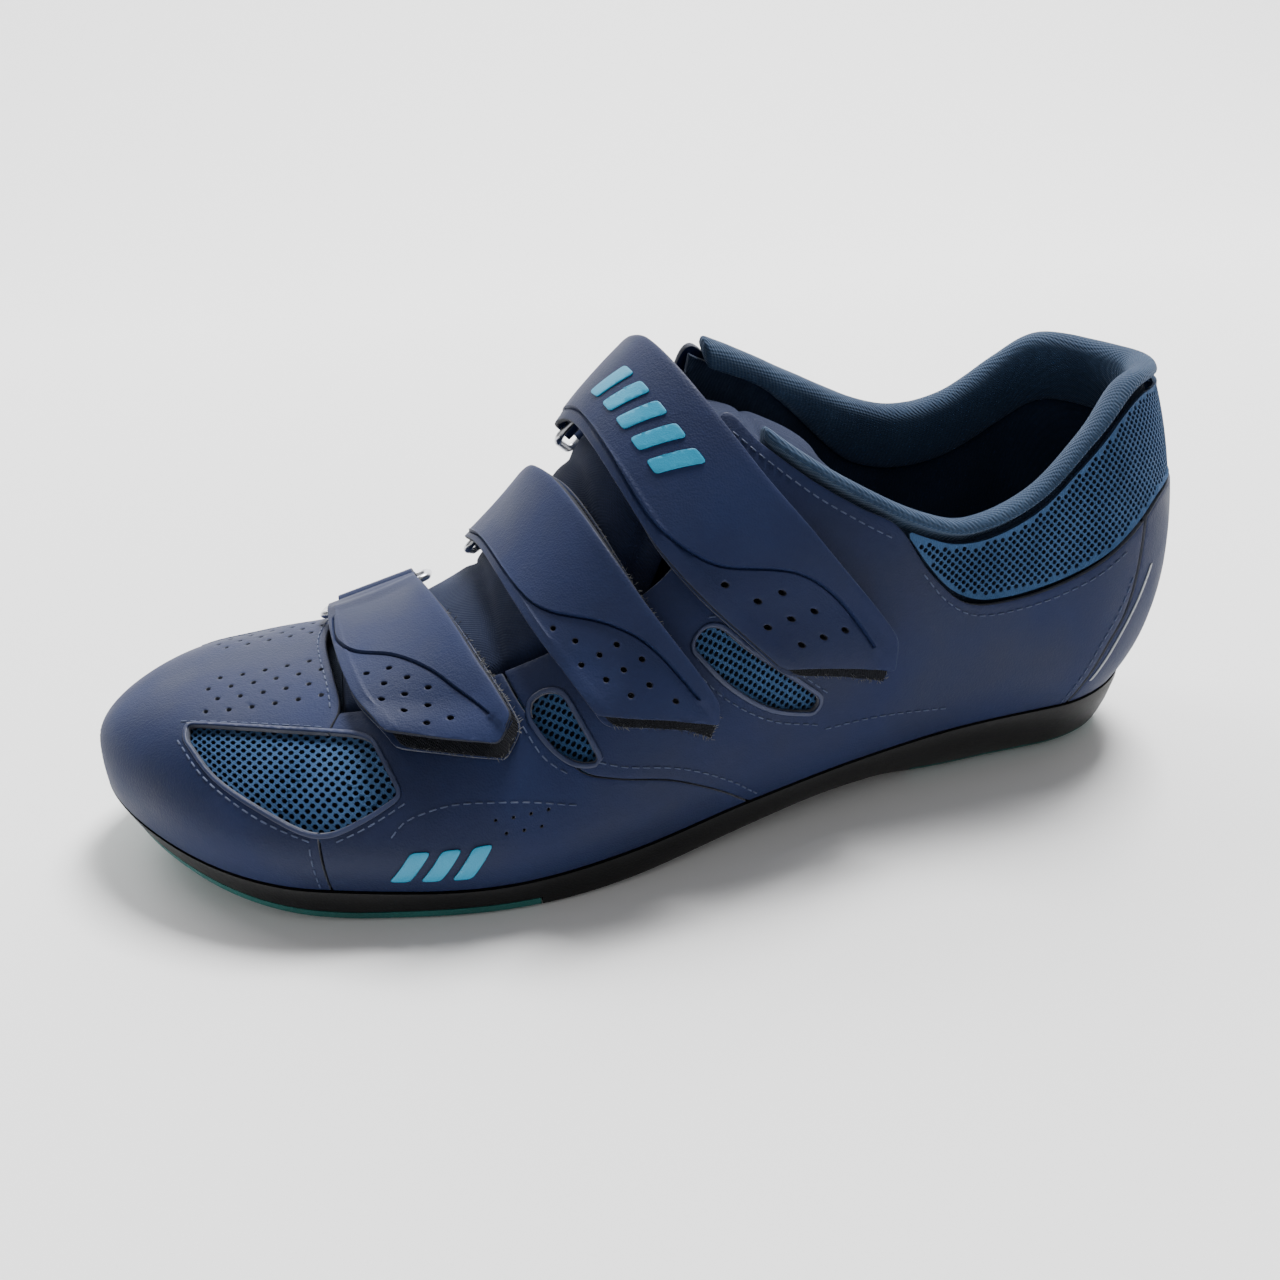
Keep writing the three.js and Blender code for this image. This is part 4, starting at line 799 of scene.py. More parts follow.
def knitHoles(loop, pitch, hole, clear=0.6):
    # staggered rows of holes that stay clear of the loop's edge
    low, high = loop.min(0), loop.max(0)
    middle = (low + high) / 2
    perPercent = float(percentLength(middle[0], middle[1]))
    rowStep = pitch * 0.5
    found = []
    row = 0
    across = low[1]
    while across < high[1]:
        along = low[0] + (pitch * 0.5 if row % 2 else 0)
        while along < high[0]:
            found.append((along, across))
            along += pitch
        across += rowStep / perPercent
        row += 1
    found = np.array(found)
    reach = hole + clear
    keep = insideLoop(found, loop)
    for da, dp in ((reach, 0), (-reach, 0), (0, reach / perPercent), (0, -reach / perPercent)):
        keep &= insideLoop(found + [da, dp], loop)
    return [circle(p, hole, knitting["sides"]) for p in found[keep]]


windows = {(name, side): windowLoop(name, side) for name in windowEdges for _, side in sides}
for word, side in sides:
    for name in windowEdges:
        size = knitting[name]
        loop = grownLoop(name, side)
        holes = knitHoles(loop, size["pitch"], size["hole"])
        insert = cutSheet(f"mesh_{name}_{word}_knit", loop, holes, [knit, knitEdgeShade], layers["knitTop"] + 0.5,
                          layers["knitUnder"] + 0.3, 1.1, 0.9, lowered=knitting["sunk"], bevel=0)
        settle(insert, "root", "knit_mesh", f"mesh_{name}_{word}")

# toe cap
capRear = [(-100, 53), (-79, 52.6), (-60, 54.5), (-47, 57), (-38, 59.8), (-25, 59), (0, 57), (25, 59),
           (38, 59.8), (47, 57), (60, 54.5), (79, 52.6), (100, 53)]
capVents = {"radius": 0.62, "rows": 4, "firstPercent": 14, "rowStep": 6.6, "firstU": 30, "uStep": 5.2,
            "perRow": 5, "stagger": 2.4, "slope": -0.10}


def capRearPoint(percent):
    return float(curve(capRear, percent)), percent


def ventPlaces(side):
    found = []
    for row in range(capVents["rows"]):
        for k in range(capVents["perRow"] + (row % 2)):
            u = capVents["firstU"] + k * capVents["uStep"] + (capVents["stagger"] if row % 2 == 0 else 0)
            percent = (capVents["firstPercent"] + row * capVents["rowStep"]
                       + capVents["slope"] * (u - capVents["firstU"]))
            found.append((float(arcAt(u)), side * percent))
    return found


def makeToeCap():
    # the tip line is closed on itself, so that the cap wraps round the toe without a seam
    rear = throughPoints(place([capRearPoint(p) for p in np.linspace(-100, 100, 41)]), 0.9)
    tip = np.stack([np.zeros(33), np.linspace(100, -100, 33)], 1)
    # the tip line keeps its own even points, so that its two halves meet point to point
    sideLines = [throughPoints([(0, -100), rear[0]], 0.9), throughPoints([rear[-1], (0, 100)], 0.9)]
    outline = joinRuns(sideLines[0], rear, sideLines[1], tip)
    vents = [circle(p, capVents["radius"], 8) for _, side in sides for p in ventPlaces(side)]
    cuts = [windows["toe", side] for _, side in sides] + vents
    return cutSheet("toe_cap_panel", outline, cuts, [navy, cutEdge], 0, -layers["panel"], 1.3, None,
                    zippedArc=0.0)


settle(makeToeCap(), "root", "navy_microfibre", "toe_cap")

# raised film rims round the windows
windowRim = {"width": 1.15, "height": 0.32, "bevel": 0.22, "inset": 0.1}


def offsetLoop(loop, distance):
    # closed loop grown by a distance on the skin
    middle = loop.mean(0)
    scale = np.array([1.0, float(percentLength(middle[0], middle[1]))])
    real = loop * scale
    ahead = np.roll(real, -1, 0) - np.roll(real, 1, 0)
    ahead /= np.linalg.norm(ahead, axis=1)[:, None]
    x, y = real[:, 0], real[:, 1]
    turn = np.sign(np.sum(x * np.roll(y, -1) - y * np.roll(x, -1)))
    return (real + np.stack([ahead[:, 1], -ahead[:, 0]], 1) * distance * turn) / scale


for (name, side), loop in windows.items():
    word = "medial" if side > 0 else "lateral"
    settle(cutSheet(f"window_rim_{name}_{word}_film", offsetLoop(loop, windowRim["width"]),
                    [offsetLoop(loop, windowRim["inset"])], [rimFilm, rimFilm], windowRim["height"],
                    0.03, 0.8, 0.7, bevel=windowRim["bevel"]), "root", "navy_microfibre")

# side panels of the upper
midSeam = [(149, 100), (142, 93.5), (130, 85.5), (116, 78.5), (110, 74.5), (104.4, 66), (99, 54), (96, 43)]
heelSeam = [(243, 100), (247, 88), (251, 81), (255, 73)]
throat = [(96.5, 43), (115, 46), (132, 46.5), (143, 41)]
badgeVents = {"radius": 0.36, "rows": 2, "count": 4, "u": 90, "percent": 78.32, "uStep": 3.8,
              "percentStep": 3.6, "slope": 0.08}


def forefootPanel(word, side):
    front = [(capRearPoint(p)[0] + layers["seamGap"], p) for p in (100, 90, 79, 68, 57, 47, 40)]
    outline = joinRuns(
        throughPoints(place([front[0], midSeam[0]], side)), throughPoints(place(midSeam, side)),
        throughPoints(place([midSeam[-1], (78, 41.5), front[-1]], side)),
        throughPoints(place(front[::-1], side)))
    vents = []
    for row in range(badgeVents["rows"]):
        for k in range(badgeVents["count"] - row):
            u = badgeVents["u"] + (k + 0.5 * row) * badgeVents["uStep"]
            percent = (badgeVents["percent"] + row * badgeVents["percentStep"]
                       + badgeVents["slope"] * (u - badgeVents["u"]))
            vents.append(circle((float(arcAt(u)), side * percent), badgeVents["radius"], 7))
    cuts = [windows["toe", side], windows["front", side], *vents]
    return cutSheet(f"{word}_forefoot_panel", outline, cuts, [navy, cutEdge], 0, -layers["panel"])


def quarterPanel(word, side):
    gap = layers["seamGap"]
    behind = [(u + gap, p) for u, p in midSeam]
    collar = [(u, collarPercent(u, side) + 0.5) for u in (151, 158, 168, 179, 188)]
    under = [(u, meshEdgePercent(u, side) + 0.5) for u in (196, 206, 222, 238, 250)]
    corner = (255, meshEdgePercent(255, side) + 0.5)
    outline = joinRuns(
        throughPoints(place([behind[0], heelSeam[0]], side)),
        throughPoints(place([*heelSeam[:-1], corner], side)),
        throughPoints(place([*throat, *collar, *under, corner], side))[::-1],
        throughPoints(place(behind, side))[::-1])
    cuts = [windows["front", side], windows["rear", side]]
    return cutSheet(f"{word}_quarter_panel", outline, cuts, [navy, cutEdge], 0, -layers["panel"], 1.4)


for word, side in sides:
    settle(forefootPanel(word, side), "root", "navy_microfibre", f"{word}_forefoot")
    settle(quarterPanel(word, side), "root", "navy_microfibre", f"{word}_quarter")


# heel: past the heel line the pattern runs on to the medial side
def heelPlace(points, side):
    # points of either side in the pattern that unrolls round the heel from the lateral side
    placed = place(points, -1)
    if side > 0:
        placed[:, 0] = 2 * arcLength - placed[:, 0]
    return placed


def heelBand(stations, value):
    # (u, percent) pairs along one side, from value(u, side), and back along the other side
    lateral = throughPoints(heelPlace([(u, value(u, -1)) for u in stations], -1))
    medial = throughPoints(heelPlace([(u, value(u, 1)) for u in stations], 1))
    return np.concatenate([lateral, medial[::-1]])


def makeHeelStay():
    edge = shiftedSeam(heelSeam[:3], 2 * layers["seamGap"])
    top = heelBand((256.2, 262, 268, 273, 275.8), lambda u, side: meshEdgePercent(u, side) + 0.6)
    lateral = throughPoints(np.concatenate([heelPlace(edge, -1), top[:1]]))
    medial = throughPoints(np.concatenate([heelPlace(edge, 1), top[-1:]]))
    outline = joinRuns(lateral, top, medial[::-1])
    return cutSheet("heel_stay_panel", outline, [], [navy, cutEdge], 0, -layers["panel"], 1.3)


def makeCollarMesh():
    stations = (191, 196, 202, 209, 217, 226, 235, 244, 252, 260, 267, 272, 275.8)
    upper = heelBand(stations, lambda u, side: collarPercent(u, side) + 0.6)
    lower = heelBand(stations, lambda u, side: max(meshEdgePercent(u, side) - 0.6,
                                                   collarPercent(u, side) + 1.8))
    outline = joinRuns(lower, upper[::-1])
    size = knitting["collar"]
    holes = knitHoles(evenly(outline, 0.9), size["pitch"], size["hole"], 0.5)
    return cutSheet("collar_mesh_knit", outline, holes, [knit, knitEdgeShade], -0.2, -1.2, 1.1, 0.9,
                    lowered=knitting["sunk"], bevel=0)


settle(makeHeelStay(), "root", "navy_microfibre", "heel_stay")
settle(makeCollarMesh(), "root", "knit_mesh", "collar_mesh")


def stiffener(name, fromStation, low, highAt, material, rows=60, columns=16):
    # sheet formed round the heel between two shares of girth
    def surface(s, r, side):
        arc = lerp(float(arcAt(fromStation)), 2 * arcLength - float(arcAt(fromStation)), s)
        high = np.array([highAt(float(stationAt(a if a < arcLength else 2 * arcLength - a)),
                                -1 if a < arcLength else 1) for a in arc[:, 0]])
        percent = -lerp(low, high[:, None], r)
        offset = layers["stiffTop"] if side == 0 else layers["stiffUnder"]
        return skin(arc, percent, offset + 0 * arc)
    return gridShell(name, surface, rows, columns, [material])


def puffSurface(s, r, side):
    offset = layers["stiffTop"] if side == 0 else layers["stiffUnder"]
    return skin(s * float(arcAt(17)), lerp(-97, 97, r), offset + 0 * s)


settle(stiffener("heel_counter_sheet", 214, 97, lambda u, side: meshEdgePercent(u, side) + 4, stiffSheet),
       "root", "stiffener_sheet", "heel_counter")
settle(gridShell("toe_puff_sheet", puffSurface, 14, 40, [stiffSheet], zipStart=True), "root",
       "stiffener_sheet", "toe_puff")

# lining
liningTop = [(60, 40), (96, 43), (115, 46), (132, 46.5), (143, 41), (152, 34)]


def sideLining(word, side):
    start, stop = float(arcAt(60.5)), arcLength - 0.15

    def surface(s, r, face):
        arc = lerp(start, stop, s)
        tops = []
        for u in stationAt(arc[:, 0]):
            tops.append(float(curve(liningTop, u)) if u < 150 else collarPercent(u, side, -0.4))
        offset = layers["liningTop"] if face == 0 else layers["liningUnder"]
        return skin(arc, side * lerp(99, np.array(tops)[:, None], r), offset + 0 * arc)
    return gridShell(f"lining_{word}_cloth", surface, 110, 30, [liningCloth], bevel=0.2)


def vampSurface(s, r, face):
    offset = layers["liningTop"] if face == 0 else layers["liningUnder"]
    return skin(s * float(arcAt(60)), lerp(-99, 99, r), offset + 0 * s)


settle(gridShell("lining_vamp_cloth", vampSurface, 40, 60, [liningCloth], zipStart=True), "root",
       "lining_fabric", "lining_vamp")
for word, side in sides:
    settle(sideLining(word, side), "root", "lining_fabric", f"lining_{word}")

# padded collar roll
rollSection = [(0.3, -0.2), (0.35, 0.7), (0.75, 0.4), (0.97, -1.4), (1, -3.8), (0.8, -6), (0.3, -7.6),
               (-0.8, -7.9), (-2.4, -7.0), (-2.7, 0), (0.06, 0)]
rollSize = {"height": 5, "startLateral": 159, "startMedial": 154, "steps": 56, "inner": -4.8}


def rollRing(arc, side):
    u = float(stationAt(arc))
    fullness = float(smooth((u - 165) / 35))
    made = []
    for i, (rise, depth) in enumerate(rollSection):
        dz = rise * rollSize["height"]
        dz = max(dz, 0.3) if rise > 0 else lerp(0.3, dz, fullness)
        offset = rollSize["inner"] if i in (9, 10) else depth
        made.append((side * collarPercent(u, side, dz), offset))
    return made


def makeCollarRoll():
    rings = []
    for side, start in ((-1, rollSize["startLateral"]), (1, rollSize["startMedial"])):
        arcs = np.linspace(float(arcAt(start)), arcLength, rollSize["steps"] + 1)
        line = [skin(np.full(len(rollSection), a), *map(np.array, zip(*rollRing(a, side)))) for a in arcs]
        rings += line if side < 0 else line[-2::-1]
    count = len(rollSection)
    faces = [tuple(range(count)), tuple(reversed([(len(rings) - 1) * count + j for j in range(count)]))]
    for i in range(len(rings) - 1):
        for j in range(count):
            k = (j + 1) % count
            faces.append((i * count + j, i * count + k, (i + 1) * count + k, (i + 1) * count + j))
    piece = newPiece("collar_roll_pad", toMetres(np.concatenate(rings)), faces, [collarCloth])
    weld(piece)
    applyModifier(piece, "SUBSURF", levels=2, render_levels=2)
    finishEdges(piece, 0)
    return piece


collarRoll = makeCollarRoll()
settle(collarRoll, "root", "collar_fabric", "collar_roll")

# padded tongue
tongue = {
    "start": 58.6, "end": 182, "thickness": 4.0,
    "centreZ": [(120, 84), (130, 92), (140, 96.5), (150, 97), (165, 92), (182, 83)],
    "halfLateral": [(58, 22), (120, 28), (150, 27), (170, 23), (182, 19)],
    "halfMedial": [(58, 20), (116, 17), (135, 19), (150, 20), (170, 18), (182, 15)],
    "edgeDrop": [(120, 20), (150, 14), (182, 9)],
    "share": [(58, 0.50), (80, 0.53), (96, 0.56), (132, 0.58), (150, 0.58)],
    "earReach": 5.0, "earDip": 3.0, "earFrom": 0.35, "earSpan": 0.5,
    "channelAt": (0.30, 0.5, 0.7, 0.86), "channelDepth": 0.9, "channelHalf": 0.012,
    "edgeRound": 0.16, "endRound": 0.06, "overTo": 0.80, "overFade": 0.10, "startRise": 3,
    "leavesForm": 116, "leaveLength": 28,
}


def tonguePoint(s, r, depth):
    a = lerp(-1.0, 1.0, r)
    # the rear edge runs out into an ear at either side
    ear = smooth((np.abs(a) - tongue["earFrom"]) / tongue["earSpan"])
    u = lerp(tongue["start"], tongue["end"] + lerp(-tongue["earDip"], tongue["earReach"], ear) * smooth(s), s)
    over = smooth((tongue["overTo"] - np.abs(a)) / tongue["overFade"])
    rise = smooth((u - tongue["start"]) / tongue["startRise"])
    under = layers["liningUnder"] - 0.5
    offset = lerp(under, lerp(under + 0.4, -0.8, rise), over)
    onForm = skin(arcAt(u), 100 * a * curve(tongue["share"], u), offset - depth)
    half = np.where(a < 0, curve(tongue["halfLateral"], u), curve(tongue["halfMedial"], u))
    arch = np.stack([u - originX, curve(form["centre"], u) + a * half,
                     curve(tongue["centreZ"], u) - curve(tongue["edgeDrop"], u) * a * a - depth], -1)
    return lerp(onForm, arch, smooth((u - tongue["leavesForm"]) / tongue["leaveLength"])[..., None])


def tongueSurface(s, r, side):
    # the pad thins towards its rim and is quilted by crosswise channels
    rim = np.minimum(np.minimum(r, 1 - r) / tongue["edgeRound"], np.minimum(s, 1 - s) / tongue["endRound"])
    full = np.sqrt(np.clip(1 - (1 - np.clip(rim, 0, 1)) ** 2, 0, 1))
    channel = sum(np.exp(-((s - at) / tongue["channelHalf"]) ** 2) for at in tongue["channelAt"])
    pinch = tongue["channelDepth"] * channel * full
    half = tongue["thickness"] / 2
    depth = half - half * full + pinch if side == 0 else half + half * full
    return tonguePoint(s, r, depth)


tonguePad = gridShell("tongue_pad", tongueSurface, 150, 56, [tongueCloth])
settle(tonguePad, "tongue", "navy_microfibre", "tongue")

# straps and rings
straps = [
    {
        "ringAt": 16, "keeperEnd": 47,
        "front": [(-60, 73), (-52.7, 70.4), (-37.7, 63.9), (-6, 59.5), (20, 59), (40, 59)],
        "rear": [(-60, 98.5), (-55.7, 97.8), (-36.1, 92.2), (0, 84.5), (20, 82), (40, 81)],
        "end": [(0, -52.7), (0.42, -57.5), (0.83, -61.6), (1, -56.5)],
        "groove": [(60.6, 0), (61.7, -15.5), (65.7, -22.8), (74.5, -28.5), (82.8, -38.1), (88.2, -46.7),
                   (93.5, -54.5)],
    },
    {
        "ringAt": 17, "keeperEnd": 48,
        "front": [(-76, 120), (-63.5, 114.1), (-36.1, 104.6), (0, 98.8), (20, 97), (40, 96.5)],
        "rear": [(-76, 141), (-71.7, 138.8), (-47.3, 127.2), (-5.9, 116.8), (20, 113), (40, 112)],
        "end": [(0, -63.5), (0.45, -70), (0.87, -76), (1, -72)],
        "groove": [(98.6, 14), (100.3, 0), (105.9, -31.5), (110, -39), (121.1, -49.5), (126.2, -55.5),
                   (134.6, -69.5)],
    },
    {
        "ringAt": 11, "keeperEnd": 42,
        "front": [(-78, 162), (-71.2, 154.7), (-52.7, 138.7), (-35.5, 130.2), (4.5, 123.5), (30, 121)],
        "rear": [(-78, 185), (-71.4, 183.2), (-51, 166.9), (-36.1, 155.4), (-18, 146.2), (4.5, 140),
                 (30, 137)],
        "end": [(0, -71.2), (0.45, -75), (0.9, -78.3), (1, -72)],
        "groove": [(125.4, 4), (128.3, -18), (132, -35.5), (139.2, -46), (144.6, -50), (161.2, -55.8),
                   (168.5, -61), (177.5, -72.5)],
    },
]
strapMake = {
    "width": 24, "wrapPercent": 12, "wrapFrom": 90, "wrapTo": -140, "sleeveInner": 1.3, "sleeveOuter": 2.4,
    "ringPitch": 9.5, "wireRadius": 1.0, "ringEndClearance": 1.2, "ringCorner": 2.4, "cornerRadius": 1.3,
    "raised": 0.6, "grooveDepth": 0.55, "grooveHalf": 0.42, "ribAt": 2.3, "ribHalf": 0.5, "ribHeight": 0.22,
    "ventRadius": 0.62, "steps": 11, "tipLift": 1.4, "tipSteps": 1.9, "layerPitch": 6.5, "layerCorner": 1.8,
    "faceUnder": 0.15, "fadeFrom": 4, "fadeLength": 5, "edgeTuck": 0.25, "ribTo": -45.0,
    "barLead": 4, "barSteps": 2, "barShare": 0.99,
}


def strapStation(strap, percent, a):
    return lerp(curve(strap["front"], percent), curve(strap["rear"], percent), a)


def strapSkin(strap, percent, a, offset):
    percent, a = np.broadcast_arrays(np.asarray(percent, float), np.asarray(a, float))
    offset = np.broadcast_to(np.asarray(offset, float), percent.shape)
    return skin(arcAt(strapStation(strap, percent, a)), percent, offset)


def unit(v):
    return v / np.linalg.norm(v)


def ringFrame(strap):
    # x along the ring's long bars, y down the medial side, z away from the shoe
    at = strap["ringAt"]
    height = layers["strapGap"] + strapMake["sleeveOuter"]
    a, b, middle = (strapSkin(strap, at, share, height) for share in (0, 1, 0.5))
    perPercent = float(percentLength(arcAt(strapStation(strap, at, 0.5)), at))
    below = strapSkin(strap, at + strapMake["ringPitch"] / perPercent, 0.5, height)
    x = unit(b - a)
    y = below - middle
    y = unit(y - x * y.dot(x))
    z = np.cross(x, y)
    if z.dot(skinNormal(arcAt(strapStation(strap, at, 0.5)), at)) < 0:
        x, z = -x, -z
    chord = (a + b) / 2
    raised = max(0.0, float((middle - chord).dot(z)))
    return {"x": x, "y": y, "z": z, "middle": chord + z * raised, "width": float(np.linalg.norm(b - a)),
            "lowPercent": at + strapMake["ringPitch"] / perPercent}


def inFrame(ring, x, y, z):
    x, y, z = (np.asarray(v, float)[..., None] for v in (x, y, z))
    return ring["middle"] + ring["x"] * x + ring["y"] * y + ring["z"] * z


def endPercent(strap, a):
    return np.interp(a, *zip(*strap["end"]))


def acrossBar(strap, ring, a):
    side = 1.0 if ring["x"].dot(strapSkin(strap, strap["ringAt"], 1, 3.0) - ring["middle"]) > 0 else -1.0
    return side * (np.asarray(a, float) - 0.5) * ring["width"] * strapMake["barShare"]


def strapSheet(strap, ring):
    # pattern x is the way across the strap, pattern y the percent of girth; past the ring it wraps round
    def mapping(x, y, height):
        a = x / strapMake["width"]
        percent = np.minimum(y, strap["ringAt"])
        isTop = height > layers["flapUnder"] + 0.3
        level = np.where(isTop, strapMake["sleeveOuter"], strapMake["sleeveInner"] + 0.05)
        step = (strap["ringAt"] - percent) / (strap["ringAt"] - endPercent(strap, a)) * strapMake["steps"]
        # the free tip stands off a little
        lift = strapMake["tipLift"] * smooth((step - strapMake["steps"]) / strapMake["tipSteps"] + 1)
        onForm = strapSkin(strap, percent, a, height + lift)
        onBar = inFrame(ring, acrossBar(strap, ring, a), -step * strapMake["barLead"],
                        level + (height - layers["flapTop"]) * isTop)
        made = lerp(onForm, onBar, (1 - smooth(step / strapMake["barSteps"]))[..., None])
        turn = lerp(strapMake["wrapFrom"], strapMake["wrapTo"],
                    np.clip((y - strap["ringAt"]) / strapMake["wrapPercent"], 0, 1)) * math.pi / 180
        wrapped = inFrame(ring, acrossBar(strap, ring, a), np.cos(turn) * level, np.sin(turn) * level)
        return np.where((y > strap["ringAt"])[..., None], wrapped, made)
    return mapping


def strapPattern(strap, u, percent):
    front, rear = curve(strap["front"], percent), curve(strap["rear"], percent)
    return strapMake["width"] * (u - front) / (rear - front), percent


def distanceTo(line, x, y):
    # distance to a line, and whether a point is on its rear side
    best = np.full(len(x), 1e9)
    rear = np.zeros(len(x), bool)
    for (x0, y0), (x1, y1) in zip(line[:-1], line[1:]):
        dx, dy = x1 - x0, y1 - y0
        t = np.clip(((x - x0) * dx + (y - y0) * dy) / (dx * dx + dy * dy), 0, 1)
        gap = np.hypot(x - x0 - t * dx, y - y0 - t * dy)
        cross = dx * (y - y0) - dy * (x - x0)
        closer = gap < best
        best = np.where(closer, gap, best)
        rear = np.where(closer, cross > 0, rear)
    return best, rear


def sideLine(line, distance):
    # the line moved sideways
    ahead = np.gradient(line, axis=0)
    ahead /= np.linalg.norm(ahead, axis=1)[:, None]
    return line + np.stack([-ahead[:, 1], ahead[:, 0]], 1) * distance


def flapOutline(strap):
    width, top = strapMake["width"], strap["ringAt"] + strapMake["wrapPercent"]
    end = [(a * width, p) for a, p in strap["end"]]
    polygon = [(0, top), *end, (width, top)]
    return roundCorners(polygon, strapMake["cornerRadius"], 6)


flapHoles = {"rows": 12, "perRow": 9, "x": 2.0, "y": -18.0, "xStep": 4.6, "yStep": -5.0, "fromGroove": 2.6,
             "fromEdge": ((2.2, 0), (-2.2, 0), (0, 2.6), (0, -3.4))}


def flapVents(groove, outline):
    # staggered holes in the field below the groove, clear of groove and edge
    found = np.array([(flapHoles["x"] + (k + 0.5 * (row % 2)) * flapHoles["xStep"],
                       flapHoles["y"] + row * flapHoles["yStep"])
                      for row in range(flapHoles["rows"]) for k in range(flapHoles["perRow"])])
    gap, rear = distanceTo(groove, found[:, 0], found[:, 1])
    keep = insideLoop(found, outline) & ~rear & (gap > flapHoles["fromGroove"])
    for dx, dy in flapHoles["fromEdge"]:
        keep &= insideLoop(found + [dx, dy], outline)
    return found[keep]


def makeFlap(n, strap, ring):
    groove = throughPoints([strapPattern(strap, u, p) for u, p in strap["groove"]], 1.0)
    outline = flapOutline(strap)
    vents = [circle(p, strapMake["ventRadius"], 8, spaced=False) for p in flapVents(groove, outline)]

    def topHeight(x, y):
        gap, rear = distanceTo(groove, x, y)
        fade = smooth((strap["ringAt"] - strapMake["fadeFrom"] - y) / strapMake["fadeLength"])
        away = np.clip(gap / strapMake["grooveHalf"], 0, 1)
        raised = strapMake["raised"] * away * rear
        line = strapMake["grooveDepth"] * (1 - away)
        edge = np.minimum(x, strapMake["width"] - x)
        tuck = strapMake["edgeTuck"] * (1 - smooth(edge))
        fromRib = np.abs(x - strapMake["ribAt"]) / strapMake["ribHalf"]
        rib = strapMake["ribHeight"] * np.clip(1 - fromRib, 0, 1)
        return layers["flapTop"] - strapMake["faceUnder"] - tuck * fade + (raised - line + rib) * fade

    creases = [sideLine(groove, k * strapMake["grooveHalf"]) for k in (-1, 0, 1)]
    for k in (-1, 0, 1):
        at = strapMake["ribAt"] + k * strapMake["ribHalf"]
        creases.append(throughPoints([(at, strap["ringAt"] - 2), (at, strapMake["ribTo"])], 1.2))
    return cutSheet(f"strap_flap_{n}_sheet", outline, vents, [navy, flapEdgeShade], topHeight, layers["flapUnder"],
                    0.72, 0.7, strapSheet(strap, ring), scaled=False, bevel=0.25, creases=creases)


keeperTurn = 14


keeper = {"from": 0.06, "to": 0.94, "length": 30, "round": 1.6, "endSlant": 6,
          "stitchFrom": 0.15, "stitchTo": 0.85, "stitchLow": 20, "stitchHigh": 28}


def keeperSheet(strap, ring):
    # short strap from the medial side, folded round the lower bar
    def mapping(x, y, height):
        a = x / strapMake["width"]
        isTop = height > layers["strapGap"] + 0.3
        s = np.clip(y / keeper["length"], 0, 1)
        percent = lerp(ring["lowPercent"], strap["keeperEnd"] + keeper["endSlant"] * a, s)
        onForm = strapSkin(strap, percent, a, height)
        # round the bar the face that lay on top of the tail is the one next to the wire
        radius = np.where(isTop, strapMake["sleeveInner"], strapMake["sleeveOuter"])
        across = acrossBar(strap, ring, a)
        onBar = inFrame(ring, across, strapMake["ringPitch"] + s * 10, -radius)
        made = lerp(onForm, onBar, (1 - smooth(s / 0.5))[..., None])
        turn = lerp(270, -25, np.clip(-y / keeperTurn, 0, 1)) * math.pi / 180
        wrapped = inFrame(ring, across, strapMake["ringPitch"] + np.cos(turn) * radius, np.sin(turn) * radius)
        return np.where((y < 0)[..., None], wrapped, made)
    return mapping


def makeKeeper(n, strap, ring):
    left, right = (keeper[end] * strapMake["width"] for end in ("from", "to"))
    outline = roundCorners([(left, -keeperTurn), (right, -keeperTurn), (right, keeper["length"]),
                            (left, keeper["length"])], keeper["round"], 5)
    return cutSheet(f"strap_keeper_{n}_sheet", outline, [], [navy, cutEdge], layers["baseTop"],
                    layers["strapGap"], 0.8, 0.7, keeperSheet(strap, ring), scaled=False, bevel=0.25)


def layerMapping(strap):
    # pattern y is the step along the strap: 0 at the ring, 11 at the flap's end
    def mapping(x, y, height):
        a = x / strapMake["width"]
        share = y / (strapMake["layerPitch"] * strapMake["steps"])
        percent = lerp(strap["ringAt"], endPercent(strap, np.clip(a, 0, 1)), share)
        return strapSkin(strap, percent, a, height)
    return mapping


def makeLayer(name, strap, fromStep, toStep, inset, low, high, materials, reach=0.0, ripple=0.0):
    width = strapMake["width"]
    left, right = inset * width, (1 - inset) * width + reach
    start, end = (step * strapMake["layerPitch"] for step in (fromStep, toStep))
    outline = roundCorners([(left, start), (right, start), (right, end), (left, end)],
                           strapMake["layerCorner"], 5)

    def top(x, y):
        return high + ripple * np.sin(x * 5.1) * np.sin(y * 4.3)
    return cutSheet(name, outline, [], materials, top, low, 1.0, 0.8, layerMapping(strap), scaled=False,
                    bevel=0.15)


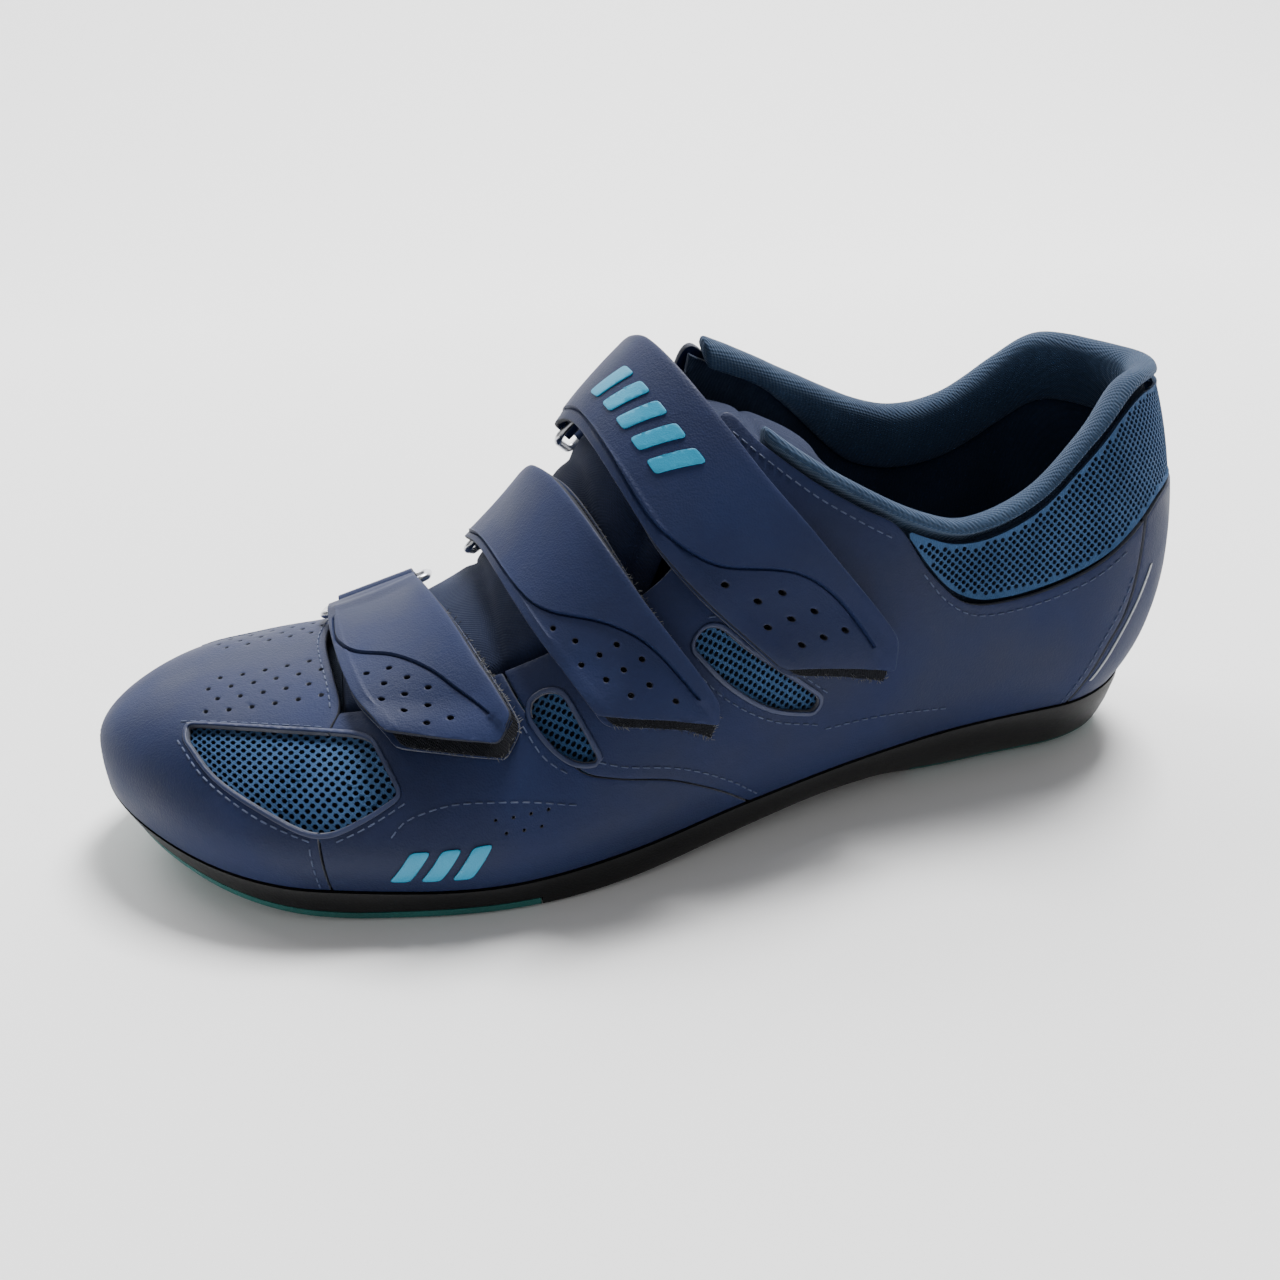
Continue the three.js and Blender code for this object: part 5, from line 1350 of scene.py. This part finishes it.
def makeRing(n, ring):
    # torus pulled apart into a rounded rectangle of wire
    radius, wire = strapMake["ringCorner"], strapMake["wireRadius"]
    bpy.ops.object.select_all(action="DESELECT")
    bpy.ops.mesh.primitive_torus_add(major_segments=48, minor_segments=16, major_radius=radius * mm,
                                     minor_radius=wire * 0.98 * mm)
    piece = bpy.context.object
    piece.name = f"ring_{n}_wire"
    piece.data.name = piece.name
    halfLong = ring["width"] / 2 + strapMake["ringEndClearance"] + wire - radius
    halfShort = strapMake["ringPitch"] / 2 - radius
    onlySelect(piece)
    bpy.ops.object.mode_set(mode="EDIT")
    for column, reach in ((0, halfLong), (1, halfShort)):
        for sign in (-1, 1):
            mesh = bmesh.from_edit_mesh(piece.data)
            for v in mesh.verts:
                v.select_set(v.co[column] * sign > 1e-7)
            mesh.select_flush_mode()
            bmesh.update_edit_mesh(piece.data)
            move = [0.0, 0.0, 0.0]
            move[column] = sign * reach * mm
            bpy.ops.transform.translate(value=move)
    bpy.ops.object.mode_set(mode="OBJECT")
    lie = Matrix(np.stack([ring["x"], ring["y"], ring["z"]], 1).tolist()).to_4x4()
    centre = inFrame(ring, 0, strapMake["ringPitch"] / 2, 0)
    piece.data.transform(Matrix.Translation(Vector(toMetres(centre))) @ lie)
    piece.data.materials.append(wireSteel)
    onlySelect(piece)
    bpy.ops.object.shade_smooth()
    return piece


fibre = {"radius": 0.09, "bendAt": 0.55, "count": 300, "seed": 40}


def fuzzAlong(name, strap, edges, count, seed):
    # short fibres that stand out of the loop pile along its open edges
    draw = random.Random(seed)
    mapping = layerMapping(strap)
    vertices, faces = [], []
    for _ in range(count):
        (x0, y0), (x1, y1) = edges[draw.randrange(len(edges))]
        t = draw.random()
        x, y = x0 + (x1 - x0) * t + draw.uniform(-0.5, 0.3), y0 + (y1 - y0) * t + draw.uniform(-0.4, 0.6)
        height = draw.uniform(layers["loopUnder"], layers["loopTop"])
        base = mapping(np.array([x]), np.array([y]), np.array([height]))[0]
        up = mapping(np.array([x]), np.array([y]), np.array([height + 1.0]))[0] - base
        out = mapping(np.array([x + 1.0]), np.array([y + 0.8]), np.array([height]))[0] - base
        side = unit(np.cross(up, out))
        reach = draw.uniform(0.4, 1.3)
        lean = unit(out) * draw.uniform(0.3, 1.0) + unit(up) * draw.uniform(-0.1, 0.8)
        lean = unit(lean + side * draw.uniform(-0.9, 0.9)) * reach
        index = len(vertices)
        bend = unit(up) * draw.uniform(-0.3, 0.3)
        for along in (0.0, fibre["bendAt"]):
            centre = base + lean * along + bend * along
            for k in range(3):
                angle = 2 * math.pi * k / 3
                out = side * math.cos(angle) + unit(up) * math.sin(angle)
                vertices.append(centre + out * fibre["radius"])
        vertices.append(base + lean)
        for k in range(3):
            j = (k + 1) % 3
            faces += [(index + k, index + j, index + 3 + j, index + 3 + k),
                      (index + 3 + k, index + 3 + j, index + 6)]
        faces.append((index + 2, index + 1, index))
    piece = newPiece(name, toMetres(np.array(vertices)), faces, [fuzz])
    editMesh(piece, lambda: bpy.ops.mesh.normals_make_consistent(inside=False))
    return piece


ringFrames = [ringFrame(strap) for strap in straps]
for n, (strap, ring) in enumerate(zip(straps, ringFrames), 1):
    settle(makeRing(n, ring), f"ring_{n}", "ring_wire", f"ring_{n}")
    settle(makeFlap(n, strap, ring), f"strap_{n}", "navy_microfibre", f"strap_flap_{n}")
    settle(makeKeeper(n, strap, ring), "root", "navy_microfibre", f"strap_keeper_{n}")
    settle(makeLayer(f"strap_base_{n}_sheet", strap, 1, 11.45, 0.0, layers["strapGap"], layers["baseTop"],
                     [navy, cutEdge]), "root", "navy_microfibre", f"strap_base_{n}")
    settle(makeLayer(f"loop_patch_{n}_pile", strap, 4, 11.4, 0.06, layers["loopUnder"], layers["loopTop"],
                     [hookLoopAndShade, hookLoopAndShade], reach=1.3, ripple=0.12), "root", "hook_loop", f"loop_patch_{n}")
    settle(makeLayer(f"hook_patch_{n}_pile", strap, 5, 10.2, 0.08, layers["hookUnder"], layers["hookTop"],
                     [hookLoopAndShade, hookLoopAndShade]), f"strap_{n}", "hook_loop", f"hook_patch_{n}")
    width = strapMake["width"]
    edges = [((width, 30), (width, 73.5)), ((1.5, 73.8), (width, 73.8)), ((width, 50), (width, 73.5))]
    settle(fuzzAlong(f"loop_fuzz_{n}", strap, edges, fibre["count"], fibre["seed"] + n), "root", "hook_loop")
print("straps done")

# stitching
stitch = {"length": 1.7, "thickness": 0.42, "pitch": 2.5, "lift": 0.05, "span": 1.2}


def modelStitch():
    # one stitch: a ball stretched into a capsule, modelled once and copied
    bpy.ops.object.select_all(action="DESELECT")
    bpy.ops.mesh.primitive_uv_sphere_add(segments=6, ring_count=5, radius=stitch["thickness"] / 2)
    model = bpy.context.object
    points = np.array([v.co for v in model.data.vertices])
    faces = [tuple(p.vertices) for p in model.data.polygons]
    reach = stitch["length"] / 2 - stitch["thickness"] / 2
    points = points[:, [2, 0, 1]]
    points[:, 0] += np.sign(points[:, 0]) * reach
    mesh = model.data
    bpy.data.objects.remove(model)
    bpy.data.meshes.remove(mesh)
    return points, faces


stitchPoints, stitchFaces = modelStitch()


def stitchRow(line, mapping, normalAt, height=0.0):
    # places for stitches along a line of pattern points
    line = np.asarray(line, float)
    along = mapping(line[:, 0], line[:, 1], np.full(len(line), height))
    run = np.concatenate([[0], np.cumsum(np.linalg.norm(np.diff(along, axis=0), axis=1))])
    pitch, half = stitch["pitch"], stitch["span"] / 2
    made = []
    for at in np.arange(pitch / 2, run[-1], pitch):
        ends = [np.array([np.interp(at + d, run, along[:, c]) for c in range(3)]) for d in (-half, half)]
        pattern = np.array([np.interp(at, run, line[:, c]) for c in range(2)])
        tangent = unit(ends[1] - ends[0])
        up = normalAt(pattern)
        up = unit(up - tangent * up.dot(tangent))
        made.append(((ends[0] + ends[1]) / 2 + up * stitch["lift"], tangent, np.cross(up, tangent), up))
    return made


def makeStitches(name, places):
    vertices, faces = [], []
    for centre, x, y, z in places:
        base = len(vertices) * len(stitchPoints)
        vertices.append(centre + stitchPoints @ np.stack([x, y, z]))
        faces += [tuple(base + i for i in face) for face in stitchFaces]
    piece = newPiece(name, toMetres(np.concatenate(vertices)), faces, [thread])
    onlySelect(piece)
    bpy.ops.object.shade_smooth()
    return piece


def skinNormalAt(pattern):
    return skinNormal(pattern[0], pattern[1])


def onSkin(points, side=1):
    return stitchRow(throughPoints(place(points, side)), skin, skinNormalAt)


# stitch lines on the panels, as (station, percent) points; the same on both sides
windowSeams = [
    [(24, 38.2), (36, 39.6), (48, 42.4), (57, 45)],
    [(23.6, 47), (29.6, 62), (39.8, 73.4), (52, 81)],
    [(56, 80.6), (63, 76.6), (72.6, 70)],
    [(67.6, 80), (71, 75.8), (74.6, 74), (81.8, 72.6), (95.7, 75.5), (108.2, 80.9)],
    [(98.4, 58), (102, 67.4), (107.4, 74)],
    [(135, 63.6), (143.4, 74.2), (154, 82.2), (166.4, 87)],
    [(141, 57.8), (145.6, 59.6), (152.6, 67.2), (169, 81)],
    [(168, 88.4), (183.3, 90), (201.8, 93.2)],
]


# how far each row lies from the edge it follows: mm along the shoe, percent round it
seamInset = {"cap": -1.9, "middle": (2.4, -1.6), "collar": 3.2, "mesh": 2.6, "heel": -2.4}


def upperSeams(side):
    capSeams = [[(capRearPoint(p)[0] + seamInset["cap"], p) for p in run]
                for run in ((99, 92, 86, 82), (38, 30, 22, 14, 6, 0))]
    collarSeams = [[(u, collarPercent(u, side) + seamInset["collar"]) for u in (152, 158, 168, 179, 187)],
                   [(u, meshEdgePercent(u, side) + seamInset["mesh"])
                    for u in (194, 200, 208, 222, 238, 250)]]
    runs = [*capSeams, shiftedSeam(midSeam[:5], *seamInset["middle"]), *windowSeams, *collarSeams,
            shiftedSeam(heelSeam, seamInset["heel"])]
    return [made for run in runs for made in onSkin(run, side)]


for word, side in sides:
    settle(makeStitches(f"seam_stitches_{word}", upperSeams(side)), "root", "navy_microfibre")


def keeperStitches(strap, ring):
    mapping = keeperSheet(strap, ring)
    width = strapMake["width"]

    def normalAt(pattern):
        x, y = (np.array([v]) for v in pattern)
        return unit((mapping(x, y, np.array([2.6])) - mapping(x, y, np.array([1.6])))[0])

    left, right = keeper["stitchFrom"] * width, keeper["stitchTo"] * width
    low, high = keeper["stitchLow"], keeper["stitchHigh"]
    corners = [(left, low), (left, high), (right, high), (right, low), (left, low)]
    rows = []
    for a, b in zip(corners, corners[1:]):
        rows += stitchRow(throughPoints([a, b], 1.0), mapping, normalAt, layers["baseTop"])
    return rows


settle(makeStitches("keeper_stitches", [made for strap, ring in zip(straps, ringFrames)
                                        for made in keeperStitches(strap, ring)]), "root", "navy_microfibre")


def strapStitches(n, strap, ring):
    mapping = strapSheet(strap, ring)

    def normalAt(pattern):
        x, y = (np.array([v]) for v in pattern)
        return unit((mapping(x, y, np.array([layers["flapTop"] + 1.0])) -
                     mapping(x, y, np.array([layers["flapTop"]])))[0])

    top = layers["flapTop"] - strapMake["faceUnder"]
    width = strapMake["width"]
    rows = stitchRow(throughPoints([(2.2, strap["ringAt"] - 9), (width - 2.2, strap["ringAt"] - 9)], 1.0),
                     mapping, normalAt, top)
    return makeStitches(f"strap_stitches_{n}", rows)


for n, (strap, ring) in enumerate(zip(straps, ringFrames), 1):
    settle(strapStitches(n, strap, ring), f"strap_{n}", "navy_microfibre")

# generic slanted bars in place of any mark
sideBars = {"count": 3, "u": 66, "percent": 84, "length": 9.5, "width": 4.2, "gap": 2.4, "slant": 5.5,
            "height": 0.45}
strapBars = {"count": 5, "percentFrom": -4.0, "pitch": 5.6, "width": 3.2, "from": 0.28, "to": 0.66,
             "slant": 2.6}


def joinPieces(name, made):
    bpy.ops.object.select_all(action="DESELECT")
    for piece in made:
        piece.select_set(True)
    bpy.context.view_layer.objects.active = made[0]
    bpy.ops.object.join()
    made[0].name = name
    made[0].data.name = name
    return made[0]


def makeSideBadge():
    made = []
    for k in range(sideBars["count"]):
        u0 = sideBars["u"] + k * (sideBars["width"] + sideBars["gap"])
        low, high = sideBars["percent"], sideBars["percent"] + sideBars["length"]
        slant = sideBars["slant"]
        corners = place([(u0 + slant, low), (u0 + slant + sideBars["width"], low),
                         (u0 + sideBars["width"], high), (u0, high)], -1)
        made.append(cutSheet(f"bar_{k}", roundCorners(corners, 1.2, 5), [], [accent, accent],
                             sideBars["height"], 0.06, 0.9, 0.6, bevel=0.12))
    return joinPieces("side_badge_bars", made)


def makeStrapBadge():
    strap, ring = straps[2], ringFrames[2]
    mapping = strapSheet(strap, ring)
    width = strapMake["width"]
    made = []
    for k in range(strapBars["count"]):
        y0 = strapBars["percentFrom"] - k * strapBars["pitch"]
        y1 = y0 - strapBars["slant"]
        x0, x1 = strapBars["from"] * width, strapBars["to"] * width
        corners = [(x0, y0), (x0, y0 - strapBars["width"]), (x1, y1 - strapBars["width"]), (x1, y1)]
        top = layers["flapTop"] + strapMake["raised"] - strapMake["faceUnder"]
        made.append(cutSheet(f"bar_{k}", roundCorners(corners, 0.8, 5), [], [accent, accent], top + 0.35,
                             top - 0.02, 0.8, 0.5, mapping, scaled=False, bevel=0.1))
    return joinPieces("strap_badge_bars", made)


heelStripe = {"line": [(246.5, 95), (250.5, 87), (254.5, 80), (258.5, 73)], "width": 1.0, "height": 0.22}


def makeHeelStripe(word, side):
    # thin reflective line that follows the heel seam
    front = throughPoints(place(heelStripe["line"], side))
    behind = throughPoints(place(shiftedSeam(heelStripe["line"], heelStripe["width"]), side))
    return cutSheet(f"heel_stripe_{word}_tape", joinRuns(front, behind[::-1]), [], [reflective, reflective],
                    heelStripe["height"], 0.02, 0.8, 0.7, bevel=0.08)


for word, side in sides:
    settle(makeHeelStripe(word, side), "root", "accent_print")
settle(makeSideBadge(), "root", "accent_print", "side_badge")
settle(makeStrapBadge(), "strap_3", "accent_print", "strap_badge")

# outsole, pads and cleat hardware
sole = {
    "topDrop": 0.4, "proud": 0.4, "padThickness": 2.6, "padGap": 0.3, "insertRadius": 5, "insertBore": 2.6,
    "insertRecess": 2, "cleatAcross": 37.5, "cleatAlong": 27, "cleatRearAt": 98, "nutAt": 91,
    "slotPitch": 14, "slotWidth": 5.6, "nutTravel": 6, "nutLength": 13, "nutWidth": 23, "nutThickness": 2.5,
    "nutClearance": 0.4, "pocketFloor": 4.2, "cleatCentre": 6, "rows": 150,
    "sideProfile": [(0, 1), (0.12, 1), (0.45, 0.75), (0.66, 0.52), (0.82, 0.3), (0.93, 0.1), (1, -0.06)],
}


def soleRing(u):
    ends = float(roundOff(u, form["toeRound"]) * roundOff(form["length"] - u, form["heelRound"]))
    base = float(curve(form["feather"], u))
    top, bottom = base - sole["topDrop"], max(0.0, float(curve(form["soleBottom"], u)))
    share = float(curve(form["soleShare"], u))
    x = u - originX + float(heelLean(u, 0))
    pull = max(0, 1 - u / 40) ** 2 - max(0, 1 - (form["length"] - u) / 30) ** 2
    centre = float(curve(form["centre"], u))
    keep = (1 - form["tuck"])
    halves = {1: float(curve(form["medial"], u)) * ends * keep + sole["proud"] * ends,
              -1: float(curve(form["lateral"], u)) * ends * keep + sole["proud"] * ends}
    points = []

    def add(side, a, depth, wide):
        scale = lerp(share, 1, wide) if wide >= 0 else share * (1 + wide)
        points.append((x + 2 * min(depth * 1.2, 1) * pull, centre + side * halves[side] * a * scale,
                       top - (top - bottom) * depth))

    for a in np.linspace(1, 0, 7)[:-1]:
        add(-1, a, 0, 1)
    for a in np.linspace(0, 1, 7):
        add(1, a, 0, 1)
    for depth, wide in sole["sideProfile"][1:]:
        add(1, 1, depth, wide)
    for a in np.linspace(1, 0, 7)[1:]:
        add(1, a, 1, -0.06)
    for a in np.linspace(0, 1, 7)[1:]:
        add(-1, a, 1, -0.06)
    for depth, wide in sole["sideProfile"][-2:0:-1]:
        add(-1, 1, depth, wide)
    return points


def makeSoleBody():
    rings = [soleRing(float(stationAt(arc))) for arc in np.linspace(0, arcLength, sole["rows"] + 1)]
    count = len(rings[0])
    faces = []
    for i in range(len(rings) - 1):
        for j in range(count):
            k = (j + 1) % count
            faces.append((i * count + j, (i + 1) * count + j, (i + 1) * count + k, i * count + k))
    piece = newPiece("sole_body", toMetres(np.concatenate(rings)), faces, [nylon])
    weld(piece, 2e-5)
    return piece


def copyPiece(piece, name):
    made = piece.copy()
    made.data = piece.data.copy()
    made.name = name
    made.data.name = name
    bpy.context.scene.collection.objects.link(made)
    return made


def combine(piece, other, operation):
    applyModifier(piece, "BOOLEAN", object=other, operation=operation, solver="EXACT")
    mesh = other.data
    bpy.data.objects.remove(other)
    bpy.data.meshes.remove(mesh)


def padSlab(name, fromU, toU, yLow, yHigh, rise):
    us = np.linspace(fromU, toU, 40)
    inside = np.clip(us, 0, form["length"])
    tops = np.maximum(0, curve(form["soleBottom"], inside)) + rise
    vertices = []
    for u, z in zip(us, tops):
        vertices += [(u - originX, yLow, z), (u - originX, yHigh, z), (u - originX, yHigh, -20),
                     (u - originX, yLow, -20)]
    faces = [(0, 1, 2, 3), tuple(4 * (len(us) - 1) + k for k in (3, 2, 1, 0))]
    for i in range(len(us) - 1):
        for k in range(4):
            m = (k + 1) % 4
            faces.append((4 * i + k, 4 * (i + 1) + k, 4 * (i + 1) + m, 4 * i + m))
    piece = newPiece(name, toMetres(np.array(vertices)), faces, [padRubber])
    weld(piece)
    return piece


def padZone(grow):
    rise = sole["padThickness"] + grow
    toe = padSlab("toe_zone", -10, 58 + grow, -90, 90, rise)
    combine(toe, padSlab("lateral_zone", 50, 98 + grow, -90, -24 + grow, rise), "UNION")
    combine(toe, padSlab("medial_zone", 50, 98 + grow, 36 - grow, 90, rise), "UNION")
    return toe, padSlab("heel_zone", 198 - grow, 290, -90, 90, rise)


def addBlock(name, centre, size):
    bpy.ops.object.select_all(action="DESELECT")
    bpy.ops.mesh.primitive_cube_add(size=1, location=toMetres([centre])[0].tolist(),
                                    scale=tuple(s * mm for s in size))
    piece = bpy.context.object
    piece.name = name
    bpy.ops.object.transform_apply(location=True, rotation=True, scale=True)
    return piece


def addDrill(name, x, y, radius, low, high, sides=40):
    bpy.ops.object.select_all(action="DESELECT")
    centre = toMetres([(x, y, (low + high) / 2)])[0].tolist()
    bpy.ops.mesh.primitive_cylinder_add(vertices=sides, radius=radius * mm, depth=(high - low) * mm,
                                        location=centre)
    piece = bpy.context.object
    piece.name = name
    bpy.ops.object.transform_apply(location=True, rotation=True, scale=True)
    return piece


insertPlaces = [(sole["cleatRearAt"] - sole["cleatAlong"], 0),
                (sole["cleatRearAt"], -sole["cleatAcross"] / 2),
                (sole["cleatRearAt"], sole["cleatAcross"] / 2)]
insertPlaces = [(u - originX, sole["cleatCentre"] + y) for u, y in insertPlaces]
nutX = sole["nutAt"] - originX


def makeSole():
    body = makeSoleBody()
    toeZone, heelZone = padZone(0)
    toePad, heelPad = copyPiece(body, "toe_pad_rubber"), copyPiece(body, "heel_pad_rubber")
    combine(toePad, toeZone, "INTERSECT")
    combine(heelPad, heelZone, "INTERSECT")
    for zone in padZone(sole["padGap"]):
        combine(body, zone, "DIFFERENCE")
    for x, y in insertPlaces:
        combine(body, addDrill("drill", x, y, sole["insertRadius"] + 0.3, -20, 40), "DIFFERENCE")
    length = 2 * (sole["nutLength"] / 2 + sole["nutTravel"] + sole["nutClearance"])
    across = sole["nutWidth"] + 2 * sole["nutClearance"]
    cutters = [addBlock("pocket", (nutX, sole["cleatCentre"], 12.1), (length, across, 15.8))]
    for sign in (-1, 1):
        y = sole["cleatCentre"] + sign * sole["slotPitch"] / 2
        slot = addBlock("slot", (nutX, y, 7.5), (2 * sole["nutTravel"], sole["slotWidth"], 25))
        for end in (-1, 1):
            combine(slot, addDrill("end", nutX + end * sole["nutTravel"], y, sole["slotWidth"] / 2, -5, 20,
                                   28), "UNION")
        cutters.append(slot)
    for cutter in cutters:
        combine(body, cutter, "DIFFERENCE")
    body.name = "outsole_shell"
    body.data.name = body.name
    return body, toePad, heelPad


tread = {
    "pitch": 8, "depth": 1.1, "width": 1.5,
    "heel": {"from": 64, "to": 126, "centre": -2, "apart": 14, "turn": 0.5, "span": 24},
    "toe": {"from": -96, "to": -46, "centre": 8, "apart": 36, "turn": -0.45, "span": 22},
}


def treadCuts(pad, row):
    # two rows of slanted grooves across a pad, one block copied along it
    block = addBlock("tread", (0, 0, 0), (tread["width"], row["span"], 2 * tread["depth"]))
    origin = Vector(toMetres([(0, 0, 0)])[0])
    cutters = []
    for x in range(row["from"], row["to"], tread["pitch"]):
        for sign in (-1, 1):
            cutter = copyPiece(block, "tread_cut")
            centre = Vector(toMetres([(x, row["centre"] + sign * row["apart"], 0)])[0])
            cutter.data.transform(Matrix.Translation(centre) @ Matrix.Rotation(sign * row["turn"], 4, "Z")
                                  @ Matrix.Translation(-origin))
            cutters.append(cutter)
    whole = joinPieces("tread_cuts", cutters)
    combine(pad, whole, "DIFFERENCE")
    bpy.data.objects.remove(block)


outsole, toePad, heelPad = makeSole()
treadCuts(heelPad, tread["heel"])
treadCuts(toePad, tread["toe"])
for pad in (toePad, heelPad):
    pad.data.materials.clear()
    pad.data.materials.append(padRubber)
for piece, slotName, node in ((outsole, "sole_nylon", "outsole"), (toePad, "pad_rubber", "toe_pad"),
                              (heelPad, "pad_rubber", "heel_pad")):
    finishEdges(piece, 0)
    settle(piece, "root", slotName, node)


def makeInsert(n, x, y):
    # threaded steel sleeve: a turned ring with thread turns inside
    top = float(curve(form["feather"], x + originX)) - sole["topDrop"] - 0.2
    low = sole["insertRecess"]
    piece = addDrill(f"cleat_insert_{n}_steel", x, y, sole["insertRadius"], low, top, 56)
    combine(piece, addDrill("bore", x, y, sole["insertBore"], low - 5, top + 5, 40), "DIFFERENCE")
    finishEdges(piece, 0.35, 2, 50)
    turns = [piece]
    z = low + 0.7
    while z < top - 0.6:
        bpy.ops.object.select_all(action="DESELECT")
        bpy.ops.mesh.primitive_torus_add(major_segments=40, minor_segments=6, minor_radius=0.3 * mm,
                                         major_radius=(sole["insertBore"] + 0.02) * mm,
                                         location=toMetres([(x, y, z)])[0].tolist())
        bpy.ops.object.transform_apply(location=True, rotation=True, scale=True)
        turns.append(bpy.context.object)
        z += 0.8
    whole = joinPieces(piece.name, turns)
    whole.data.materials.clear()
    whole.data.materials.append(insertSteel)
    finishEdges(whole, 0)
    return whole


for n, (x, y) in enumerate(insertPlaces, 1):
    settle(makeInsert(n, x, y), "root", "insert_steel", f"cleat_insert_{n}")


def makeNutPlate():
    low = sole["pocketFloor"] + 0.3
    middle = low + sole["nutThickness"] / 2
    piece = addBlock("cleat_nut_plate_steel", (nutX, sole["cleatCentre"], middle),
                     (sole["nutLength"], sole["nutWidth"], sole["nutThickness"]))
    for sign in (-1, 1):
        boreY = sole["cleatCentre"] + sign * sole["slotPitch"] / 2
        combine(piece, addDrill("bore", nutX, boreY, 2.1, -5, 20), "DIFFERENCE")
    piece.data.materials.append(insertSteel)
    finishEdges(piece, 0.4, 3, 50)
    return piece


settle(makeNutPlate(), "nut_plate", "insert_steel", "cleat_nut_plate")

# board, footbed and cover
inner = {"wallInset": 4.6, "start": 5.4, "end": 269.9, "boardRise": 0.6, "board": 1.6, "footbedRise": 2.5,
         "footbed": 3.5, "coverRise": 6.3, "cover": 0.8}


def innerPlate(name, rise, thickness, material, swell=0.0):
    def surface(s, r, side):
        u = inner["start"] + (inner["end"] - inner["start"]) * (1 - np.cos(math.pi * s)) / 2
        rounding = (roundOff(u - inner["start"], form["toeRound"] - inner["start"])
                    * roundOff(inner["end"] - u, form["heelRound"]))
        a = lerp(-1, 1, r)
        half = np.where(a < 0, curve(form["lateral"], u), curve(form["medial"], u))
        half = (half * (1 - form["tuck"]) - inner["wallInset"]) * rounding
        up = rise + (thickness if side == 0 else 0) + swell * np.abs(a) ** 4 * smooth((u - 90) / 80)
        return np.stack([u - originX + heelLean(u, 4), curve(form["centre"], u) + a * half,
                         curve(form["feather"], u) + up], -1)
    return gridShell(name, surface, 110, 36, [material], True, True)


settle(innerPlate("lasting_board_fibre", inner["boardRise"], inner["board"], boardFibre), "root",
       "board_fibre", "lasting_board")
settle(innerPlate("footbed_foam_pad", inner["footbedRise"], inner["footbed"], foam), "root", "footbed_foam",
       "footbed")
settle(innerPlate("footbed_cover_cloth", inner["coverRise"], inner["cover"], liningCloth), "root",
       "lining_fabric", "footbed_cover")
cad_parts["sealing_film"].data.materials.clear()
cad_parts["sealing_film"].data.materials.append(boardFibre)
print("sole and footbed done")

# floor, light and camera
studio = {
    "floorTone": (0.86, 0.86, 0.86), "world": 0.32, "near": -3.0, "flat": 0.7, "bend": 1.0, "top": 3.5,
    "across": 4.0,
    "key": {"at": (0.9, 1.0, 2.8), "size": 1.0, "power": 215},
    "fill": {"at": (-1.6, -2.2, 1.4), "size": 2.4, "power": 10},
    "rim": {"at": (-0.9, 1.2, 1.5), "size": 0.9, "power": 18},
}
view = {"azimuth": -12.0, "elevation": 27.0, "roll": -2.62, "distance": 0.330, "lens": 31.46,
        "target": (0.0043, 0.0418, 0.0170)}


def makeStage():
    # floor that bends up into a wall behind the shoe
    low = cadBox[0][2] - 0.0002
    turn = np.linspace(0, math.pi / 2, 25)
    profile = [(studio["near"], low), *((studio["flat"] + studio["bend"] * math.sin(t),
                                         low + studio["bend"] * (1 - math.cos(t))) for t in turn),
               (studio["flat"] + studio["bend"], studio["top"])]
    vertices = [(x, y, z) for y, z in profile for x in (-studio["across"], studio["across"])]
    faces = [(2 * k, 2 * k + 1, 2 * k + 3, 2 * k + 2) for k in range(len(profile) - 1)]
    floor = newPiece("floor", vertices, faces, [])
    onlySelect(floor)
    bpy.ops.object.shade_smooth()
    material = bpy.data.materials.new("paleFloor")
    material.use_nodes = True
    shader = material.node_tree.nodes["Principled BSDF"]
    shader.inputs["Base Color"].default_value = (*studio["floorTone"], 1)
    shader.inputs["Roughness"].default_value = 0.9
    floor.data.materials.append(material)
    world = bpy.data.worlds.new("studio")
    world.use_nodes = True
    background = world.node_tree.nodes["Background"]
    background.inputs["Color"].default_value = (1.0, 1.0, 1.0, 1)
    background.inputs["Strength"].default_value = studio["world"]
    bpy.context.scene.world = world
    for name in ("key", "fill", "rim"):
        lamp = bpy.data.lights.new(name, "AREA")
        lamp.energy, lamp.size = studio[name]["power"], studio[name]["size"]
        holder = bpy.data.objects.new(name, lamp)
        bpy.context.scene.collection.objects.link(holder)
        holder.location = studio[name]["at"]
        aim = Vector((0, 0, 0.05)) - holder.location
        holder.rotation_euler = aim.to_track_quat("-Z", "Y").to_euler()


def makeCamera():
    data = bpy.data.cameras.new("camera")
    data.lens, data.sensor_width, data.clip_start = view["lens"], 36, 0.01
    camera = bpy.data.objects.new("camera", data)
    bpy.context.scene.collection.objects.link(camera)
    a, e, roll = (math.radians(view[k]) for k in ("azimuth", "elevation", "roll"))
    back = Vector((math.sin(a) * math.cos(e), -math.cos(a) * math.cos(e), math.sin(e)))
    right = Vector((0, 0, 1)).cross(back).normalized()
    up = back.cross(right)
    turned = (right * math.cos(roll) + up * math.sin(roll),
              up * math.cos(roll) - right * math.sin(roll), back)
    camera.matrix_world = Matrix.Translation(Vector(view["target"]) + back * view["distance"]) @ Matrix(
        [[turned[c][r] for c in range(3)] for r in range(3)]).to_4x4()
    bpy.context.scene.camera = camera


makeStage()
makeCamera()
bpy.context.view_layer.update()
